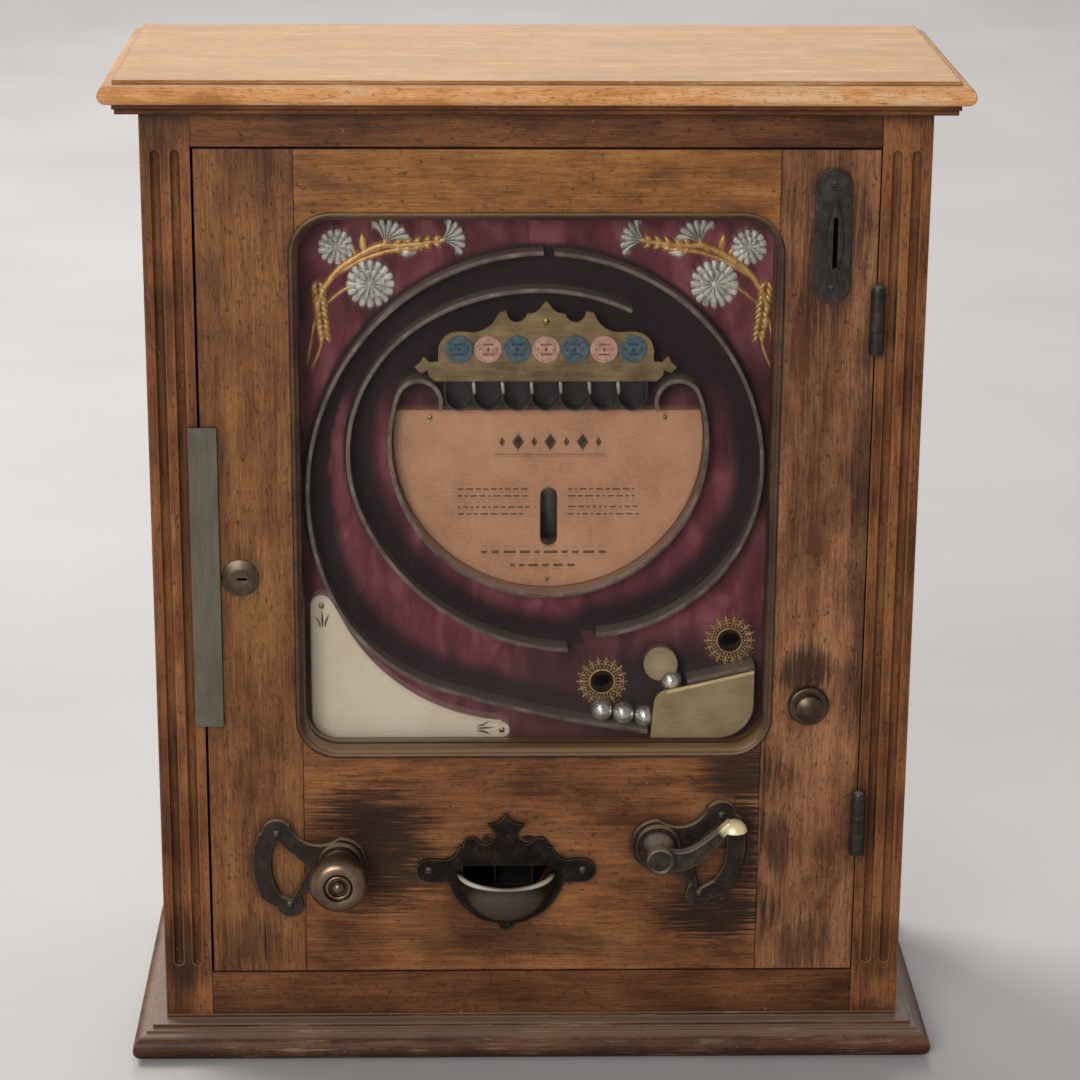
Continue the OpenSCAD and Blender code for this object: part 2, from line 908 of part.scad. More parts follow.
// Pierced back plate of the cup: a round lower edge, two screw ears, two shoulders,
// two hooked notches and a pointed crown.
ear_x = 52;
ear_r = 8.3;
plate_r = bowl_r + 6;
crown = [[10, 10], [9.2, 21], [7.6, 25], [8.6, 29.4], [12.4, 33.6], [6, 34.6], [2.6, 37], [0, 41.2]];
module cup_outline()
    translate([cup_x, cup_z])
        difference() {
            union() {
                intersection() {
                    circle(plate_r);
                    box2(-plate_r, -plate_r, plate_r, 0);
                }
                bar2([-ear_x, 0], [ear_x, 0], 2 * ear_r);
                box2(-41, -5, 41, 14);
                box2(-26, -5, 26, 20.5);
                translate([0, -plate_r + 2])
                    circle(6);
                for (side = [0, 1])
                    mirror([side, 0]) {
                        translate([22.6, 17.8])
                            circle(6.2);
                        translate([31, 11.5])
                            circle(6);
                        polygon(concat([[-1, 10]], crown, [[-1, 40]]));
                    }
            }
            for (side = [-1, 1]) {
                translate([side * 14, 24.4])
                    circle(5.2);
                translate([side * 42.5, 19])
                    circle(11.3);
                translate([side * ear_x, 0])
                    circle(screw_r + run_gap);
            }
            translate([0, -plate_r + 2])
                circle(2);
        }

module payout_cup()
    color(black_iron) {
        slab(-cup_plate_t, 0)
            difference() {
                cup_outline();
                token_way();
            }
        intersection() {
            translate([cup_x, front_y - cup_plate_t, cup_z])
                difference() {
                    sphere(bowl_r);
                    sphere(mouth_r);
                }
            block(
                cup_x - bowl_r - 1, -cup_plate_t - bowl_r - 1, cup_z - bowl_r - 1, cup_x + bowl_r + 1,
                -cup_plate_t, cup_z);
        }
        translate([cup_x, front_y - cup_plate_t, cup_z])
            rotate([0, 0, 180])
                rotate_extrude(angle = 180)
                    translate([bowl_r - bowl_wall / 2, 0])
                        circle(bowl_wall / 2 + 0.4);
    }

// Shelf under the token tube, its guides and the sloping chute to the cup.
floor_back = tube_d + slide_w / 2 + pass_gap + guide_t;
module check_chute() {
    wall = 1.5;
    x1 = chute_x0 + drop_w;
    low_z = cup_z - mouth_r + 9;
    slope = 0.5;
    back_z = low_z + (floor_back - frame_t) * slope;
    color(steel)
        difference() {
            union() {
                block(shelf_x0, frame_t, shelf_z, shelf_x1, floor_back, shelf_z + shelf_t);
                for (d = [slide_d0 - guide_t - pass_gap, tube_d + slide_w / 2 + pass_gap])
                    block(
                        shelf_x0, d, shelf_z, shelf_x1, d + guide_t,
                        slide_z + slide_t + pass_gap + shelf_t);
                block(
                    tube_x - tube_r - 5, slide_d0 - guide_t - pass_gap, slide_z + slide_t + pass_gap,
                    tube_x + tube_r + 5, floor_back, slide_z + slide_t + pass_gap + shelf_t);
                for (x = [chute_x0 - wall, x1])
                    trough_side(x, wall, low_z, back_z);
                trough_floor(chute_x0, x1, low_z, back_z, wall);
            }
            block(
                chute_x0, slide_d0, shelf_z - 1, x1, slide_d0 + slide_w, shelf_z + shelf_t + 1);
            translate([tube_x, front_y + tube_d, slide_z])
                cylinder(r = tube_r + tube_wall + run_gap, h = 20);
        }
}

// The walls of the trough, as (depth, height) outlines pushed along X.
module across(x0, x1)
    translate([x0, 0, 0])
        rotate([90, 0, 90])
            linear_extrude(x1 - x0)
                children();

module trough_side(x, wall, low_z, back_z)
    across(x, x + wall)
        translate([front_y, 0])
            polygon([[frame_t, low_z], [floor_back, back_z], [floor_back, shelf_z], [frame_t, shelf_z]]);

module trough_floor(x0, x1, low_z, back_z, wall)
    across(x0, x1)
        translate([front_y, 0])
            polygon([
                [frame_t, low_z], [floor_back, back_z], [floor_back, back_z + wall],
                [frame_t, low_z + wall]]);

// The slit in the tube's front lets the stack be seen through the card.
module token_tube() {
    z0 = slide_z + slide_t + pass_gap + 0.2;
    color("#6d6a60")
        translate([tube_x, front_y + tube_d, z0])
            difference() {
                cylinder(r = tube_r + tube_wall, h = tube_h);
                translate([0, 0, -1])
                    cylinder(r = tube_r, h = tube_h + 2);
                translate([-slot_w / 2, -2 * tube_r, shelf_t * 2])
                    cube([slot_w, 2 * tube_r, tube_h - shelf_t * 4]);
            }
}

// A plate with a round pocket for one token and a slotted yoke for the knob's drive pin.
module payout_slide() {
    yoke_x = yoke_pin.x;
    slot_z0 = knob_z - yoke_r - yoke_pin_r - yoke_gap;
    slot_z1 = yoke_pin.y + yoke_pin_r + yoke_gap;
    slot_w2 = 2 * (yoke_pin_r + yoke_gap);
    color(brass) {
        difference() {
            block(
                yoke_x - yoke_w / 2, slide_d0, slide_z, tube_x + tube_r + 7, slide_d0 + slide_w,
                slide_z + slide_t);
            translate([tube_x, front_y + tube_d, slide_z - 1])
                cylinder(r = tube_r, h = slide_t + 2);
        }
        slab(yoke_d, yoke_d + yoke_t)
            difference() {
                box2(yoke_x - yoke_w / 2, slot_z0 - 5, yoke_x + yoke_w / 2, slide_z + slide_t / 2);
                obround(yoke_x, (slot_z0 + slot_z1) / 2, slot_w2, slot_z1 - slot_z0);
            }
    }
}

// Cast quadrant: a hub, a curved arm above, a straight arm below and an arc between them,
// with a broad round lug at each end of the arc. The low lug's angle differs between the two.
arc_w = 12;
lug_r = 10;
lug_at = quadrant_r - lug_r - 1;
low_r = 8.8;
low_at = 45.5;
lug_top = 27;
knob_lug_low = -41;
trigger_lug_low = -51;
function on_lug(a) = (a > 0 ? lug_at : low_at) * [cos(a), sin(a)];
module quadrant_outline(lug_low) {
    arc_mid = quadrant_r - arc_w / 2;
    arc_low = [cos(lug_low + 17), sin(lug_low + 17)];
    arc_top = [cos(lug_top - 9), sin(lug_top - 9)];
    difference() {
        union() {
            circle(quadrant_hub_r);
            intersection() {
                circle(quadrant_r);
                polygon([
                    [0, 0], on_lug(lug_low), 40 * arc_low, 80 * arc_low, 80 * [cos(-10), sin(-10)],
                    80 * arc_top]);
            }
            polygon([[0, 0], [30, -3], on_lug(lug_top), [36, 28.5], [10, 26]]);
            translate(on_lug(lug_top))
                circle(lug_r);
            bar2(on_lug(lug_low), arc_mid * arc_low, arc_w + 0.6);
            bar2(on_lug(lug_top), arc_mid * arc_top, arc_w + 0.6);
            translate(on_lug(lug_low))
                circle(low_r);
        }
        // The window between the two arms
        intersection() {
            circle(quadrant_r - arc_w);
            polygon([
                [20.5, -3], [41.5, 16], [60, 16], [60, -14],
                43 * [cos(lug_low + 2), sin(lug_low + 2)]]);
        }
        translate([14, 33.5])
            circle(20.5);
        rotate(lug_low - 40)
            translate([42, 0])
                circle(20.5);
        circle(shaft_r + run_gap);
        for (a = [lug_top, lug_low])
            translate(on_lug(a))
                circle(screw_r + run_gap);
    }
}

// The knob's quadrant points left and the trigger's points right.
hub_out = 8;
module quadrant_plates()
    color(black_iron)
        for (q = [[knob_x, knob_z, 1, knob_lug_low], [trigger_x, trigger_z, 0, trigger_lug_low]]) {
            slab(-quadrant_t, 0)
                translate([q[0], q[1]])
                    mirror([q[2], 0])
                        quadrant_outline(q[3]);
            slab(-hub_out, 0)
                translate([q[0], q[1]])
                    difference() {
                        circle(quadrant_hub_r - 3);
                        circle(shaft_r + run_gap);
                    }
        }

// Turned knob with a flange, a neck, a bulging rim and a ringed face.
module payout_knob() {
    neck = hub_out + pass_gap;
    face = knob_out - 3;
    roll = 8;
    bulge = knob_out - 15;
    color("#7c6449")
        turned(knob_x, knob_z)
            difference() {
                union() {
                    box2(0, neck, 13, neck + 4);
                    box2(0, neck, 9.5, face - 3);
                    difference() {
                        union() {
                            box2(0, bulge - roll, knob_r - roll, bulge);
                            box2(0, bulge, knob_r, bulge + 3);
                            for (along = [0, 3])
                                translate([knob_r - roll, bulge + along])
                                    circle(roll);
                        }
                        box2(-1, face - 3, 9.8, knob_out);
                    }
                    translate([7.4, face - 3])
                        circle(1.6);
                    translate([0, face - 4.4])
                        circle(5);
                }
                box2(-10, neck - 1, shaft_r + 0.02, face - 6);
                box2(-30, 0, 0, 2 * knob_out);
            }
}

module knob_shaft()
    color(steel) {
        bar(knob_x, knob_z, shaft_r, -(knob_out - 3 - 6.2), knob_disc_d);
        bar(knob_x, knob_z, knob_disc_r, knob_disc_d, knob_disc_d + knob_disc_t);
        bar(yoke_pin.x, yoke_pin.y, yoke_pin_r, knob_disc_d + knob_disc_t, yoke_d + yoke_t + 3);
    }

// Trigger

// The blade dips from its tapered hub, sweeps up and thins towards a domed thumb pad.
function curve(p, s) =
    let (r = 1 - s)
    r * r * r * p[0] + 3 * r * r * s * p[1] + 3 * r * s * s * p[2] + s * s * s * p[3];
blade_top = [[2, 9], [13, -3], [24, 4], [46, 25.5]];
blade_low = [[46, 18.5], [33, 2], [24, -14], [0, -9]];
blade_steps = 14;
lever_end = [trigger_x + 49.6, trigger_z + 18.2];
lever_t = 8;
lever_in = lever_out - 16;
pad_r = 8.8;
pad_h = 7.8;
boss_r = lever_hub_r + 1.2;
module trigger_lever() {
    back = hub_out + pass_gap;
    dome = (pad_r * pad_r + pad_h * pad_h) / (2 * pad_h);
    color(brass)
        difference() {
            union() {
                turned(trigger_x, trigger_z)
                    polygon([
                        [0, back], [lever_hub_r + 3.5, back], [lever_hub_r + 3.5, back + 4],
                        [lever_hub_r, lever_out - 12], [boss_r, lever_out - 8],
                        [boss_r, lever_out - 0.8], [boss_r - 0.8, lever_out], [boss_r - 2, lever_out],
                        [boss_r - 2.6, lever_out - 1.2], [0, lever_out - 1.2]]);
                slab(-lever_in - lever_t, -lever_in)
                    translate([trigger_x, trigger_z])
                        polygon([
                            for (edge = [blade_top, blade_low], k = [0:blade_steps])
                                curve(edge, k / blade_steps)]);
                translate([lever_end.x, front_y - lever_in - lever_t / 2, lever_end.y])
                    rotate_extrude()
                        intersection() {
                            box2(0, 0, pad_r, pad_h);
                            translate([0, pad_h - dome])
                                circle(dome);
                        }
            }
            bar(trigger_x, trigger_z, shaft_r + 0.02, -lever_out + 3, 1);
        }
}

module trigger_shaft()
    color(steel) {
        bar(trigger_x, trigger_z, shaft_r, -lever_out + 3.2, spring_d + coil_l + 1);
        slab(crank_d, crank_d + crank_t)
            bar2([trigger_x, trigger_z], crank_pin, 12);
        bar(crank_pin.x, crank_pin.y, crank_pin_r, crank_d + crank_t, link_d + link_t + 1);
    }

// The link keeps its slant while the crank carries it up and down.
module trigger_link()
    color(steel)
        slab(link_d, link_d + link_t)
            difference() {
                union() {
                    bar2(crank_pin, side_pin, 7);
                    for (p = [crank_pin, side_pin])
                        translate(p)
                            circle(eye_r);
                }
                translate(crank_pin)
                    circle(crank_pin_r + run_gap);
                translate(side_pin)
                    circle(side_pin_r + open_gap);
            }

// Bell-crank hammer on a stub that turns in the playfield board.
lane_end = bend_path(left_start, left_heading, left_bends);
lane_last = lane_end[len(lane_end) - 1];
lane_r = plan_fit * left_bends[len(left_bends) - 1][0];
function lane_place(s) =
    let (h = lane_last[2], b = h - s / lane_r * 180 / PI)
    let (c = on_field([lane_last.x, lane_last.y]) + lane_r * [-sin(h), cos(h)])
    let (up = rail_t / 2 + ball_r + 0.3)
    c + (lane_r - up) * [sin(b), -cos(b)];
function lane_ball(i) = lane_place(2.6 + i * (2 * ball_r + pass_gap));
head_x = lane_ball(0).x + ball_r + pass_gap;
head_z = lane_ball(0).y;
module hammer() {
    head_l = 11;
    head_r = 4.2;
    color(steel) {
        slab(hammer_d, hammer_d + hammer_t) {
            bar2([hammer_x, hammer_z], side_pin, 9);
            bar2([hammer_x, hammer_z], [head_x + head_l / 2, head_z], 7);
            translate([hammer_x, hammer_z])
                circle(8);
        }
        translate([head_x, front_y + ball_d, head_z])
            rotate([0, 90, 0])
                cylinder(r = head_r, h = head_l);
        bar(hammer_x, hammer_z, hammer_pin_r, hammer_d + hammer_t, board_back - 2);
        bar(side_pin.x, side_pin.y, side_pin_r, hammer_d + hammer_t, link_d + link_t + 1);
    }
}

// Torsion springs on the two shafts, each one tube of six sides wound round the shaft.
wire_r = 0.7;
coil_turns = 4;
coil_pitch = 2.1;
ring_steps = 8;
wire_sides = 6;
coil_l = coil_turns * coil_pitch;
spring_d = link_d + link_t + wire_r + pass_gap;
module spring(x, z, d0, coil_r) {
    n = coil_turns * ring_steps;
    points = [
        for (i = [0:n], k = [0:wire_sides - 1])
            let (a = 360 * i / ring_steps, w = 360 * k / wire_sides)
            [
                (coil_r + wire_r * cos(w)) * cos(a), (coil_r + wire_r * cos(w)) * sin(a),
                coil_pitch * i / ring_steps + wire_r * sin(w)]];
    sides = [
        for (i = [0:n - 1], k = [0:wire_sides - 1])
            let (a = i * wire_sides + k, b = i * wire_sides + (k + 1) % wire_sides)
            each [[a, b, b + wire_sides], [a, b + wire_sides, a + wire_sides]]];
    ends = [
        for (k = [1:wire_sides - 2])
            each [[0, k + 1, k], [n * wire_sides, n * wire_sides + k, n * wire_sides + k + 1]]];
    translate([x, front_y + d0, z])
        rotate([-90, 0, 0])
            polyhedron(points, concat(sides, ends));
}

// Least gap between one turn and the next
spring_gap = coil_pitch - 2 * wire_r;
echo(spring_gap = spring_gap);
spring_seat = (shaft_r + wire_r + 0.3) / cos(180 / ring_steps);
module return_springs()
    color(steel) {
        spring(trigger_x, trigger_z, spring_d, spring_seat);
        spring(knob_x, knob_z, frame_t + wire_r + pass_gap, spring_seat);
    }

// Round-headed screws of the door's hardware, each with a saw slot.
screw_r = 2;
screw_head_h = 1.6;
coin_screw_zs = [coin_z + coin_plate_l / 2 - 10, coin_z - coin_plate_l / 2 + 10];
module screw(x, z, plate, head_r = 3) {
    ball = (head_r * head_r + screw_head_h * screw_head_h) / (2 * screw_head_h);
    difference() {
        union() {
            bar(x, z, screw_r, -plate - 0.5, 0);
            turned(x, z)
                intersection() {
                    box2(0, plate, head_r, plate + screw_head_h);
                    translate([0, plate + screw_head_h - ball])
                        circle(ball);
                }
        }
        block(x - 5, -plate - 5, z - 0.4, x + 5, -plate - 1.1, z + 0.4);
    }
}

module door_screws()
    color(black_iron) {
        for (side = [-1, 1])
            screw(cup_x + side * ear_x, cup_z, cup_plate_t);
        for (z = coin_screw_zs)
            screw(coin_x, z, coin_plate_t, 2.4);
        for (a = [lug_top, trigger_lug_low])
            screw(trigger_x + on_lug(a).x, trigger_z + on_lug(a).y, quadrant_t);
        for (a = [lug_top, knob_lug_low])
            screw(knob_x - on_lug(a).x, knob_z + on_lug(a).y, quadrant_t);
    }

// Playfield

// The frame is cut away where the hammer works and round the push button's collar.
frame_low = win_z0 - 18;
module playfield_surround()
    color("#4a2e20")
        slab(frame_t, velvet_d)
            difference() {
                box2(win_x0 - surround_w, frame_low, win_x1 + surround_w, win_z1 + surround_w);
                window_cut();
                box2(hammer_x - 22, frame_low - 1, hammer_x + 42, win_z0 + 4);
                translate([button_x, button_z])
                    circle(button_collar_r + 1);
            }

module field_holes()
    field_plan() {
        for (p = hole_places)
            translate(p)
                circle(hole_r);
        obround(card_slot_x, card_slot_z, slot_w, slot_l);
    }

module playfield_board()
    color("#6b4a30")
        slab(board_d, board_back)
            difference() {
                box2(win_x0 - surround_w, win_z0 - 38, win_x1 + surround_w, win_z1 + surround_w);
                field_holes();
                for (p = [[hammer_x, hammer_z], [gate_x, gate_z]])
                    translate(p)
                        circle(hammer_pin_r + run_gap);
            }

module playfield_velvet()
    color(velvet_red)
        slab(velvet_d, board_d)
            difference() {
                box2(win_x0 - surround_w, frame_low, win_x1 + surround_w, win_z1 + surround_w);
                field_holes();
                for (p = [[hammer_x, hammer_z], [gate_x, gate_z]])
                    translate(p)
                        circle(hammer_pin_r + pass_gap);
            }

module rail(path)
    color("#7a756a")
        slab(rail_d, velvet_d)
            field_plan()
                strip(path, rail_t);

module outer_left_rail()
    rail(bend_path(left_start, left_heading, left_bends));

ramp_end = ramp_start + ramp_l * [cos(ramp_heading), sin(ramp_heading)];
ramp_path = [[ramp_start.x, ramp_start.y, ramp_heading], [ramp_end.x, ramp_end.y, ramp_heading]];
module right_rails() {
    rail(bend_path(right_start, right_heading, right_bends));
    rail(ramp_path);
}

module inner_rail()
    rail(bend_path(inner_start, inner_heading, inner_bends));

// The ring runs round the card and curls over in an arch at each end.
arch_turn = 185;
ring_angle = 18.7;
module card_ring_rail() {
    a0 = 180 - ring_angle;
    foot = [ring_x, ring_z] + (ring_r - arch_r) * [cos(a0), sin(a0)];
    rail(bend_path(
        foot + arch_r * [cos(a0 - arch_turn), sin(a0 - arch_turn)], a0 - arch_turn + 90,
        [[arch_r, arch_turn], [ring_r, 180 + 2 * ring_angle], [arch_r, arch_turn]]));
}

// Seven round-bottomed pockets in a row with thin backs, open to the front and the top.
cup_h = 25;
module cup_row()
    color("#23201e") {
        slab(cup_d, velvet_d)
            field_plan()
                for (i = [0:cup_count - 1])
                    difference() {
                        cup_shape(cup_at(i), cup_pitch / 2 + cup_wall / 2, cups_z);
                        cup_shape(cup_at(i), cup_pitch / 2 - cup_wall / 2, cups_z + cup_wall);
                    }
        slab(velvet_d - 1, velvet_d)
            field_plan()
                for (i = [0:cup_count - 1])
                    cup_shape(cup_at(i), cup_pitch / 2, cups_z);
    }
function cup_at(i) = plaque_x + (i - (cup_count - 1) / 2) * cup_pitch;

module cup_shape(x, r, z0) {
    translate([x, z0 + r])
        circle(r);
    box2(x - r, z0 + r, x + r, cups_z + cup_h + (z0 > cups_z ? 1 : 0));
}

// Plaque over the cups, with two hooked notches, a pointed crown and a fishtail at each end.
plaque_w = (cup_count - 1) * cup_pitch + 2 * token_r + 9;
plaque_h = 33;
module plaque_outline()
    translate([plaque_x, plaque_z])
        difference() {
            union() {
                round_box(-plaque_w / 2, 0, plaque_w / 2, plaque_h, 13);
                box2(-plaque_w / 2, 0, plaque_w / 2, 12);
                polygon([
                    [-48, plaque_h - 2], [-30, plaque_h + 13], [-22, plaque_h + 14],
                    [-10, plaque_h + 12], [0, plaque_h + 20], [10, plaque_h + 12],
                    [22, plaque_h + 14], [30, plaque_h + 13], [48, plaque_h - 2]]);
                for (side = [0, 1])
                    mirror([side, 0])
                        translate([plaque_w / 2, 0])
                            polygon([
                                [-6, 0], [2, 0], [6, 3], [7, 7.5], [11.7, 5.5], [15.2, 9.5],
                                [11.5, 12.5], [9.7, 16.4], [5.5, 12.6], [0, 13], [-6, 13]]);
            }
            for (side = [-1, 1]) {
                translate([side * 19, plaque_h + 13])
                    circle(6.6);
                translate([side * 48, plaque_h + 17])
                    circle(17.5);
                translate([side * 11, plaque_h + 21])
                    circle(9);
            }
            translate([0, plaque_h + 7])
                circle(1.4);
        }

// Two posts behind the fishtails carry the plaque.
module cup_plaque()
    color(brass) {
        slab(plaque_d, plaque_d + plaque_t)
            field_plan()
                plaque_outline();
        for (side = [-1, 1]) {
            p = on_field([plaque_x + side * (plaque_w / 2 + 8), plaque_z + 10.5]);
            bar(p.x, p.y, 2, plaque_d + plaque_t, velvet_d);
        }
    }

module token(i) {
    x = cup_at(i);
    slab(plaque_d - token_t, plaque_d)
        field_plan()
            translate([x, token_z])
                circle(token_r);
    slab(plaque_d - token_t - 0.3, plaque_d - token_t)
        field_plan()
            translate([x, token_z])
                difference() {
                    circle(token_r - 0.3);
                    circle(token_r - 1.5);
                }
}

module blue_tokens()
    color("#4d6a74")
        for (i = [0:2:cup_count - 1])
            token(i);

module pink_tokens()
    color("#c9a293")
        for (i = [1:2:cup_count - 1])
            token(i);

// A round card inside the ring with a straight upper edge.
module instruction_card()
    color("#a47c5a")
        slab(velvet_d - card_t, velvet_d)
            field_plan()
                difference() {
                    intersection() {
                        translate([ring_x, ring_z])
                            circle(ring_r - rail_t / 2 - 0.6);
                        box2(ring_x - ring_r, ring_z - ring_r, ring_x + ring_r, card_top);
                    }
                    obround(card_slot_x, card_slot_z, slot_w, slot_l);
                }

// Pressed rings of thin petals round the ball holes, which stop short of the rails.
petals = 16;
petal_t = 0.3;
module ball_hole_rosettes() {
    ring_out = hole_r + 3.4;
    color(gilt) {
        slab(velvet_d - petal_t, velvet_d)
            field_plan()
                difference() {
                    for (p = hole_places)
                        translate(p)
                            difference() {
                                union() {
                                    circle(ring_out);
                                    for (k = [0:petals - 1])
                                        rotate(360 * k / petals)
                                            translate([ring_out - 0.6, 0])
                                                leaf(6.8, 3.4);
                                }
                                circle(hole_r);
                            }
                    strip(bend_path(right_start, right_heading, right_bends), rail_t + 2 * pass_gap);
                    strip(ramp_path, rail_t + 2 * pass_gap);
                }
        slab(velvet_d - 2, velvet_d)
            field_plan()
                for (p = hole_places)
                    translate(p)
                        difference() {
                            circle(hole_r + 2.2);
                            circle(hole_r);
                        }
    }
}

// Flat brass cover on three posts in front of the hammer.
cover_x0 = field_x + 73.6;
cover_x1 = field_x + 142.6;
cover_rise = 14.8;
module hammer_cover() {
    z_left = field_z + 40.5;
    bend_in = 10;
    big = 24;
    low = field_z + 7;
    color(brass) {
        slab(cover_d, rail_d)
            field_plan() {
                polygon([
                    [cover_x0, low], [cover_x1 - big, low], [cover_x1, low + big],
                    [cover_x1, z_left + cover_rise - 0.6], [cover_x0 + bend_in, z_left],
                    [cover_x0 + 2, z_left - bend_in]]);
                intersection() {
                    translate([cover_x1 - big, low + big])
                        circle(big);
                    box2(cover_x1 - big, low, cover_x1, low + big);
                }
                translate([cover_x0 + 2 + bend_in, z_left - bend_in + 0.4])
                    circle(bend_in);
            }
        for (p = [[cover_x1 - 8, low + 36], [cover_x1 - 12, low + 14], [cover_x0 + 36, low + 34]])
            bar(on_field(p).x, on_field(p).y, 2.5, rail_d, velvet_d);
    }
}

// Pale plate in the lower left corner, hollowed along the rail's bend.
module corner_plate() {
    x0 = field_x - 154.6;
    z0 = field_z + 1.8;
    corner = 17;
    top = [x0 + 7.5, field_z + 96.5];
    tail = [field_x - 26.4, z0 + 5.6];
    color("#cfc7ae")
        slab(velvet_d - plate_t, velvet_d)
            field_plan()
                difference() {
                    union() {
                        translate(top)
                            circle(7.5);
                        translate(tail)
                            circle(5.6);
                        translate([x0 + corner, z0 + corner])
                            circle(corner);
                        polygon([
                            [x0, top.y], [x0, z0 + corner], [x0 + corner, z0], [tail.x, z0],
                            [tail.x + 1.4, tail.y + 5.4], [top.x + 7, top.y + 2.6]]);
                    }
                    translate([field_x - 16.4, field_z + 144])
                        circle(130);
                    for (p = [top, tail])
                        translate(p)
                            circle(1.4);
                }
}

// Flower sprays in the upper corners. The right one mirrors the left one.
spray_t = 1;
spray_x = field_x - 0.6;
daisies = [[-136.5, -28.5, 11.8], [-113.3, -53, 15.8]];
trumpets = [[-104.2, -24, 6, 19], [-67.5, -22, -38, 17]];
stem_start = [-153.4, -112.7];
strand_start = [-157.4, -109.2];
module both_corners()
    translate([spray_x, win_z1])
        scale(plan_fit)
            for (side = [0, 1])
                mirror([side, 0])
                    children();

module spray_stems()
    color(gilt)
        slab(velvet_d - spray_t, velvet_d)
            intersection() {
                both_corners()
                    difference() {
                        stem_shape();
                        flower_shape();
                    }
                box2(win_x0 + pass_gap, win_z0, win_x1 - pass_gap, win_z1);
            }

module stem_shape() {
    strand = bend_path(strand_start, 82, [[200, -20]]);
    strip(bend_path(stem_start, 84, [[260, -12], [52, -52], [80, -10]]), 2.4);
    strip(strand, 1.8);
    strip(bend_path([-128, -45], 42, [[40, -38], [60, 20]]), 1.8);
    bar2([-144, -66], [-122, -54], 1.4);
    for (i = [2:len(strand) - 2], s = [-1, 1])
        translate([strand[i].x, strand[i].y])
            rotate(strand[i][2] + s * 28)
                translate([-0.5, 0])
                    leaf(8.5, 3);
    translate([-123.6, -34])
        rotate(80)
            leaf(16, 5);
    translate([-97, -28.5])
        rotate(19)
            for (k = [0:3])
                translate([k * 6, 0])
                    for (turn = [-26, 26])
                        rotate(turn)
                            leaf(8.5, 3.4);
    bar2([-98, -24], [-67.9, -21.9], 2);
}

// Two daisies, two trumpet flowers and a bud.
petal_count = 13;
module flower_shape() {
    for (f = daisies)
        translate([f[0], f[1]]) {
            for (k = [0:petal_count - 1])
                rotate(360 * k / petal_count)
                    translate([f[2] * 0.72, 0])
                        circle(f[2] * 0.28);
            circle(f[2] * 0.74);
        }
    for (f = trumpets)
        translate([f[0], f[1]]) {
            circle(1.6);
            for (k = [0:6])
                rotate(f[2] + k * 19.3) {
                    polygon([[0, -0.8], [f[3] * 0.8, -2.6], [f[3] * 0.8, 2.6], [0, 0.8]]);
                    translate([f[3] * 0.84, 0])
                        circle(f[3] * 0.16);
                }
        }
    translate([-96, -33])
        leaf(12.5, 6);
}

module spray_flowers()
    color("#c9c9c0")
        slab(velvet_d - 1.6 * spray_t, velvet_d)
            both_corners()
                flower_shape();

// Balls

module ball(x, z)
    translate([x, front_y + ball_d, z])
        sphere(ball_r);

module steel_balls()
    color("silver")
        for (i = [0:2])
            ball(lane_ball(i).x, lane_ball(i).y);

// A notched disc on a stub holds the next ball back.
module ball_gate() {
    hub_r = 4;
    color(brass) {
        difference() {
            bar(gate_x, gate_z, gate_r, gate_d, gate_d + gate_t);
            bar(gate_ball_x, gate_ball_z, ball_r + pass_gap, gate_d - 1, gate_d + gate_t + 1);
        }
        bar(gate_x, gate_z, hub_r, gate_d + gate_t, velvet_d - pass_gap);
        bar(gate_x, gate_z, hammer_pin_r, velvet_d - pass_gap, board_back - 2);
    }
}

module gate_ball()
    color("silver")
        ball(gate_ball_x, gate_ball_z);

plinth_board();
top_board();
cornice_moulding();
left_side_panel();
right_side_panel();
back_board();
left_pilaster();
right_pilaster();
case_rails();
cash_tin();
case_hinge_leaves();
hinge_pins();
door_left_stile();
door_right_stile();
door_top_rail();
door_bottom_panel();
window_moulding();
window_glass();
glazing_bead();
door_edge_strip();
door_hinge_leaves();
lock_body();
lock_plug();
coin_slot_plate();
coin_chute();
button_bezel();
push_button();
payout_cup();
check_chute();
token_tube();
payout_slide();
quadrant_plates();
payout_knob();
knob_shaft();
trigger_lever();
trigger_shaft();
trigger_link();
hammer();
return_springs();
door_screws();
playfield_surround();
playfield_board();
playfield_velvet();
outer_left_rail();
right_rails();
inner_rail();
card_ring_rail();
cup_row();
cup_plaque();
blue_tokens();
pink_tokens();
instruction_card();
ball_hole_rosettes();
hammer_cover();
corner_plate();
spray_stems();
spray_flowers();
steel_balls();
ball_gate();
gate_ball();
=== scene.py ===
import functools
import math
import random

import bmesh
import bpy
from mathutils import Matrix, Vector, kdtree


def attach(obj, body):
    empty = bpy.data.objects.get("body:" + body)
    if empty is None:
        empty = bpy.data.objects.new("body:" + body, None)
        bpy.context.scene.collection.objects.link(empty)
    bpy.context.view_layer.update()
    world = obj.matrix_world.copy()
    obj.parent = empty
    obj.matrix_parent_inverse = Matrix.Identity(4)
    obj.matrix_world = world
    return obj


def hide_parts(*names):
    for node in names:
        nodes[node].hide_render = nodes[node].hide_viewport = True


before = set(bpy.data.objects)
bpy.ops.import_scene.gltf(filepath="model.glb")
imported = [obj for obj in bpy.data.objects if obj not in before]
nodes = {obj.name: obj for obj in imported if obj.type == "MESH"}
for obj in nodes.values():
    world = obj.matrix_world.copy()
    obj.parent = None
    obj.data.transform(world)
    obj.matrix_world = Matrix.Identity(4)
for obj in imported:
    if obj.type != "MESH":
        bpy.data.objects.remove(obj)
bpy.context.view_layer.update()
scene = bpy.context.scene
mm = 0.001
perMetre = 1000  # divided by a size in mm, this is a texture's scale
fullTurn = 2 * math.pi
noiseEnds = (0.3, 0.7)  # most of a noise lies between these
frontY = -94  # pilaster fronts; depths in this script count back from here
velvetDepth = 34
print("frame loaded:", len(nodes), "nodes")


